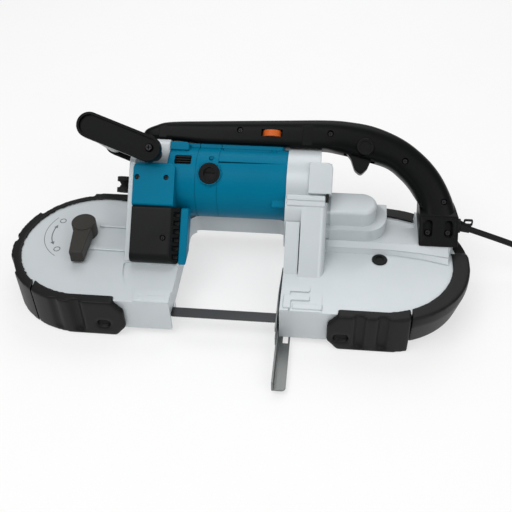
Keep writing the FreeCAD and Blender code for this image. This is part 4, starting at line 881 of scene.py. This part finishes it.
# The steps in the front band: inner and outer radius, first and last angle, and lower level.
RIM_CUTS = [(87.6, RIM_OUT, 103, 147, -2), (60, 80.8, 74, 240, DECK + 0.03),
            (88.6, RIM_OUT, 176, 181, -2), (89.4, RIM_OUT, 198, 214, -2)]
REAR_MIDDLE, UNDERCUT_OUTER, UNDERCUT_STEPS = 165.0, 130.0, 96
UNDERCUT_EDGE = [(73.2, -3.0), (76.0, 0.0), (83.6, 8.0), (90.9, 38.0)]
NOTCH_LIP = [(166.4, 87.8), (180, 85.6), (197.2, 79.6), (197.2, 65.2), (180, 70.6), (166.4, 73.6)]
upright = wheel_frame @ Matrix(((1, 0, 0, 0), (0, 0, -1, 0), (0, 1, 0, 0), (0, 0, 0, 1)))
bumper_rubber = coated("bumper_rubber", (13, 13, 13), (22, 22, 22), 0.36, 800, 0.2,
                       Specular_IOR_Level=0.2)
for node, (left, right, *fingers) in CORNER_BLOCKS.items():
    oval = extruded(oblong(left, right, OVAL_LOW, OVAL_HIGH, OVAL_ROUND),
                    -BUMPER_NEAR - OVAL_DEPTH, -BUMPER_NEAR + OVAL_CLEAR)
    dents = [extruded(disc(x, BUMPER_NEAR - FINGER_OUT, FINGER_RADIUS), FINGER_LOW, BUMPER_CLEAR)
             for x in fingers]
    skinned(node, bumper_rubber, cutters=[solid([oval], upright), solid(dents, wheel_frame)],
            soft=(RUBBER_GRAIN, RUBBER_PASSES))
rim_cuts = []
for *part, low in RIM_CUTS:
    step_line = arc_band(FRONT_X, 0, *part, steps=40)
    rim_cuts.append(solid([extruded(step_line, low, BUMPER_CLEAR)], wheel_frame))
skinned("front_bumper", bumper_rubber, cutters=rim_cuts, soft=(RUBBER_GRAIN, RIM_PASSES))


def turned_ring(middle, inner, outer, steps):
    """A ring round an upright line at x = middle. Its inner wall is given by radius and height."""
    section = [*inner, (outer, inner[-1][1]), (outer, inner[0][1])]
    turns = [math.tau * step / steps for step in range(steps)]
    return lofted([[(middle + r * math.cos(turn), r * math.sin(turn), z) for r, z in section]
                   for turn in turns], joined=True)


undercut = turned_ring(REAR_MIDDLE, UNDERCUT_EDGE, UNDERCUT_OUTER, UNDERCUT_STEPS)
skinned("rear_bumper", bumper_rubber, cutters=[solid([undercut], wheel_frame)],
        soft=(RUBBER_GRAIN, RUBBER_PASSES))
added("notch_lip", [extruded(NOTCH_LIP, DECK + 0.05, DECK + 2.4)], wheel_frame, bumper_rubber,
      edge=0.0009)

# Cord: a black rubber-sheathed mains lead. It leaves the boot through a tapered guard, droops to
# the floor, and its spare length lies there in a tied coil that ends in a moulded plug.
CORD_RADIUS, CORD_LENGTH = 0.0034, 2.40
LEAD = [(257.06, 44, 61.54), (277, 43.9, 54.28), (308, 43.2, 43.1), (330, 41.8, 34.2),
        (349, 39.8, 28.4), (367, 37.6, 26.1)]
TAIL = [(420, 36.1, 3.6), (438, 36.2, 6.2), (456, 36.1, 9.4), (474, 36, 10)]
COIL_X, COIL_Y, COIL_OUT, COIL_PITCH = 395, -11, 47, 7.6
COIL_TURNS, COIL_LAYERS, LAYER_RISE, FLOOR_GAP = 2.25, 4, 7.4, 0.05
STEP_DOWN = 0.5
PER_TURN = 24
CLIP, CLIP_HOLE = (249, 259, 67.4, 75.4), (250.4, 257.6, 68.8, 74)
TIE_HALF, TIE_CLEAR = 4.0, 5


def coil_point(turn):
    """Layers are wound from the top down, inwards and outwards by turns."""
    within = turn / COIL_TURNS % 2
    inward = COIL_TURNS * COIL_PITCH * min(within, 2 - within)
    angle = math.pi / 2 - 2 * math.pi * turn
    drop = 0
    for change in range(1, COIL_LAYERS):
        share = min(max((turn - change * COIL_TURNS + STEP_DOWN / 2) / STEP_DOWN, 0), 1)
        drop += share * share * (3 - 2 * share)
    radius = COIL_OUT - inward
    height = CORD_RADIUS * 1000 + FLOOR_GAP + LAYER_RISE * (COIL_LAYERS - 1 - drop)
    return COIL_X + radius * math.cos(angle), COIL_Y + radius * math.sin(angle), height


coil_steps = round(COIL_TURNS * COIL_LAYERS * PER_TURN)
coil = [coil_point(step / PER_TURN) for step in range(coil_steps + 1)]
route = [wheel_frame @ Vector(point) for point in LEAD + coil + TAIL]
line = bpy.data.curves.new("mains_lead", "CURVE")
line.dimensions = "3D"
line.bevel_depth = CORD_RADIUS
line.bevel_resolution = 4
line.resolution_u = 6
line.use_fill_caps = True
spline = line.splines.new("NURBS")
spline.points.add(len(route) - 1)
for point, place in zip(spline.points, route):
    point.co = (*place, 1)
spline.order_u = 3
spline.use_endpoint_u = True
mains_lead = bpy.data.objects.new("mains_lead", line)
scene.collection.objects.link(mains_lead)
sheath = coated("cord_sheath", (15, 15, 16), (24, 24, 25), 0.46, 900, 0.2, Specular_IOR_Level=0.2)
line.materials.append(sheath.material)
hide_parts("cord_lead", "cord_coil", "cord_tail")
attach(mains_lead, "frame")
skinned("cord_guard", sheath, edge=0.0006)
clip_hole = solid([extruded(oblong(*CLIP_HOLE, 1.4), -50, -38)], upright)
added("cord_clip", [extruded(oblong(*CLIP, 2), -45.4, -42.6)], upright, sheath,
      edge=0.0003, cutters=[clip_hole])
plug_body = skinned("plug", moulding, edge=0.0026)
coat(brass, "plug_pins")
tie_outer = oblong(COIL_Y - 52.4, COIL_Y - 24.6, 0.1, 31.4, 6)
tie_inner = oblong(COIL_Y - 51.2, COIL_Y - 25.8, 0.3, 30.2, 5.4)
tie_band = extruded(tie_outer, COIL_X - TIE_HALF, COIL_X + TIE_HALF)
tie_hole = extruded(tie_inner, COIL_X - TIE_HALF - TIE_CLEAR, COIL_X + TIE_HALF + TIE_CLEAR)
coil_tie = added("coil_tie", [tie_band], lengthways, tyre_rubber,
                 cutters=[solid([tie_hole], lengthways)])

# Camera: set as the photograph's was, high in front of the saw and a little to its right, and
# turned slightly about its own line of sight.
AZIMUTH, ELEVATION, ROLL = [math.radians(turn) for turn in (7.07, 43.2, 1.75)]
TARGET, DISTANCE = Vector((0.01952, 0.01309, 0.030)), 0.9
FOCUS, IMAGE_WIDTH, SENSOR = 786.04, 512, 36
back = Vector((math.sin(AZIMUTH) * math.cos(ELEVATION), -math.cos(AZIMUTH) * math.cos(ELEVATION),
               math.sin(ELEVATION)))
right = Vector((math.cos(AZIMUTH), math.sin(AZIMUTH), 0))
up = back.cross(right)
side = right * math.cos(ROLL) - up * math.sin(ROLL)
top = right * math.sin(ROLL) + up * math.cos(ROLL)
lens = bpy.data.cameras.new("camera")
lens.sensor_width = SENSOR
lens.lens = FOCUS * SENSOR / IMAGE_WIDTH
camera = bpy.data.objects.new("camera", lens)
turned = Matrix((side, top, back)).transposed().to_4x4()
camera.matrix_world = Matrix.Translation(TARGET + back * DISTANCE) @ turned
scene.collection.objects.link(camera)
scene.camera = camera

# Floor and light: white paper under three large soft lamps, with the room's light from all
# sides. The floor is white to the eye and keeps the saw's shadow.
FLOOR_HALF, FLOOR_LEVEL, SEEN_WHITE = 3.0, -0.0003, 0.6
ROOM_LIGHT = 0.36
LAMPS = [("key", (-0.5, -0.5, 1.5), 1.1, 12), ("fill", (0.9, -0.9, 1.0), 1.0, 6),
         ("rear", (0.1, 1.1, 1.3), 1.2, 8)]
paper_mesh = bpy.data.meshes.new("paper")
paper_corners = square(-FLOOR_HALF, FLOOR_HALF, -FLOOR_HALF, FLOOR_HALF)
paper_mesh.from_pydata([(x, y, FLOOR_LEVEL) for x, y in paper_corners], [], [(0, 1, 2, 3)])
paper = bpy.data.objects.new("paper", paper_mesh)
scene.collection.objects.link(paper)
white_paper = coated("white_paper", (247, 247, 247), (251, 251, 251), 0.7, 300, 0.02)
paper_mesh.materials.append(white_paper.material)
seen, glossy, through = [white_paper.node("LightPath", {}, out=ray) for ray in
                         ("Is Camera Ray", "Is Glossy Ray", "Is Transmission Ray")]
glow = white_paper.node("Emission", {}, Color=(1, 1, 1, 1), Strength=1.0)
matt = Value(white_paper, white_paper.shader.outputs[0])
mixed = white_paper.node("MixShader", {}, (seen + glossy + through) * SEEN_WHITE, matt, glow)
white_paper.feed(white_paper.tree.nodes["Material Output"].inputs["Surface"], mixed)

world = bpy.data.worlds.new("room")
world.use_nodes = True
scene.world = world
room_light = world.node_tree.nodes["Background"]
room_light.inputs["Color"].default_value = (1, 1, 1, 1)
room_light.inputs["Strength"].default_value = ROOM_LIGHT
for name, place, size, power in LAMPS:
    lamp = bpy.data.lights.new(name, "AREA")
    lamp.size = size
    lamp.energy = power
    stand = bpy.data.objects.new(name, lamp)
    aim = Vector(place).to_track_quat("Z", "Y").to_matrix().to_4x4()
    stand.matrix_world = Matrix.Translation(place) @ aim
    scene.collection.objects.link(stand)
scene.view_settings.view_transform = "Standard"
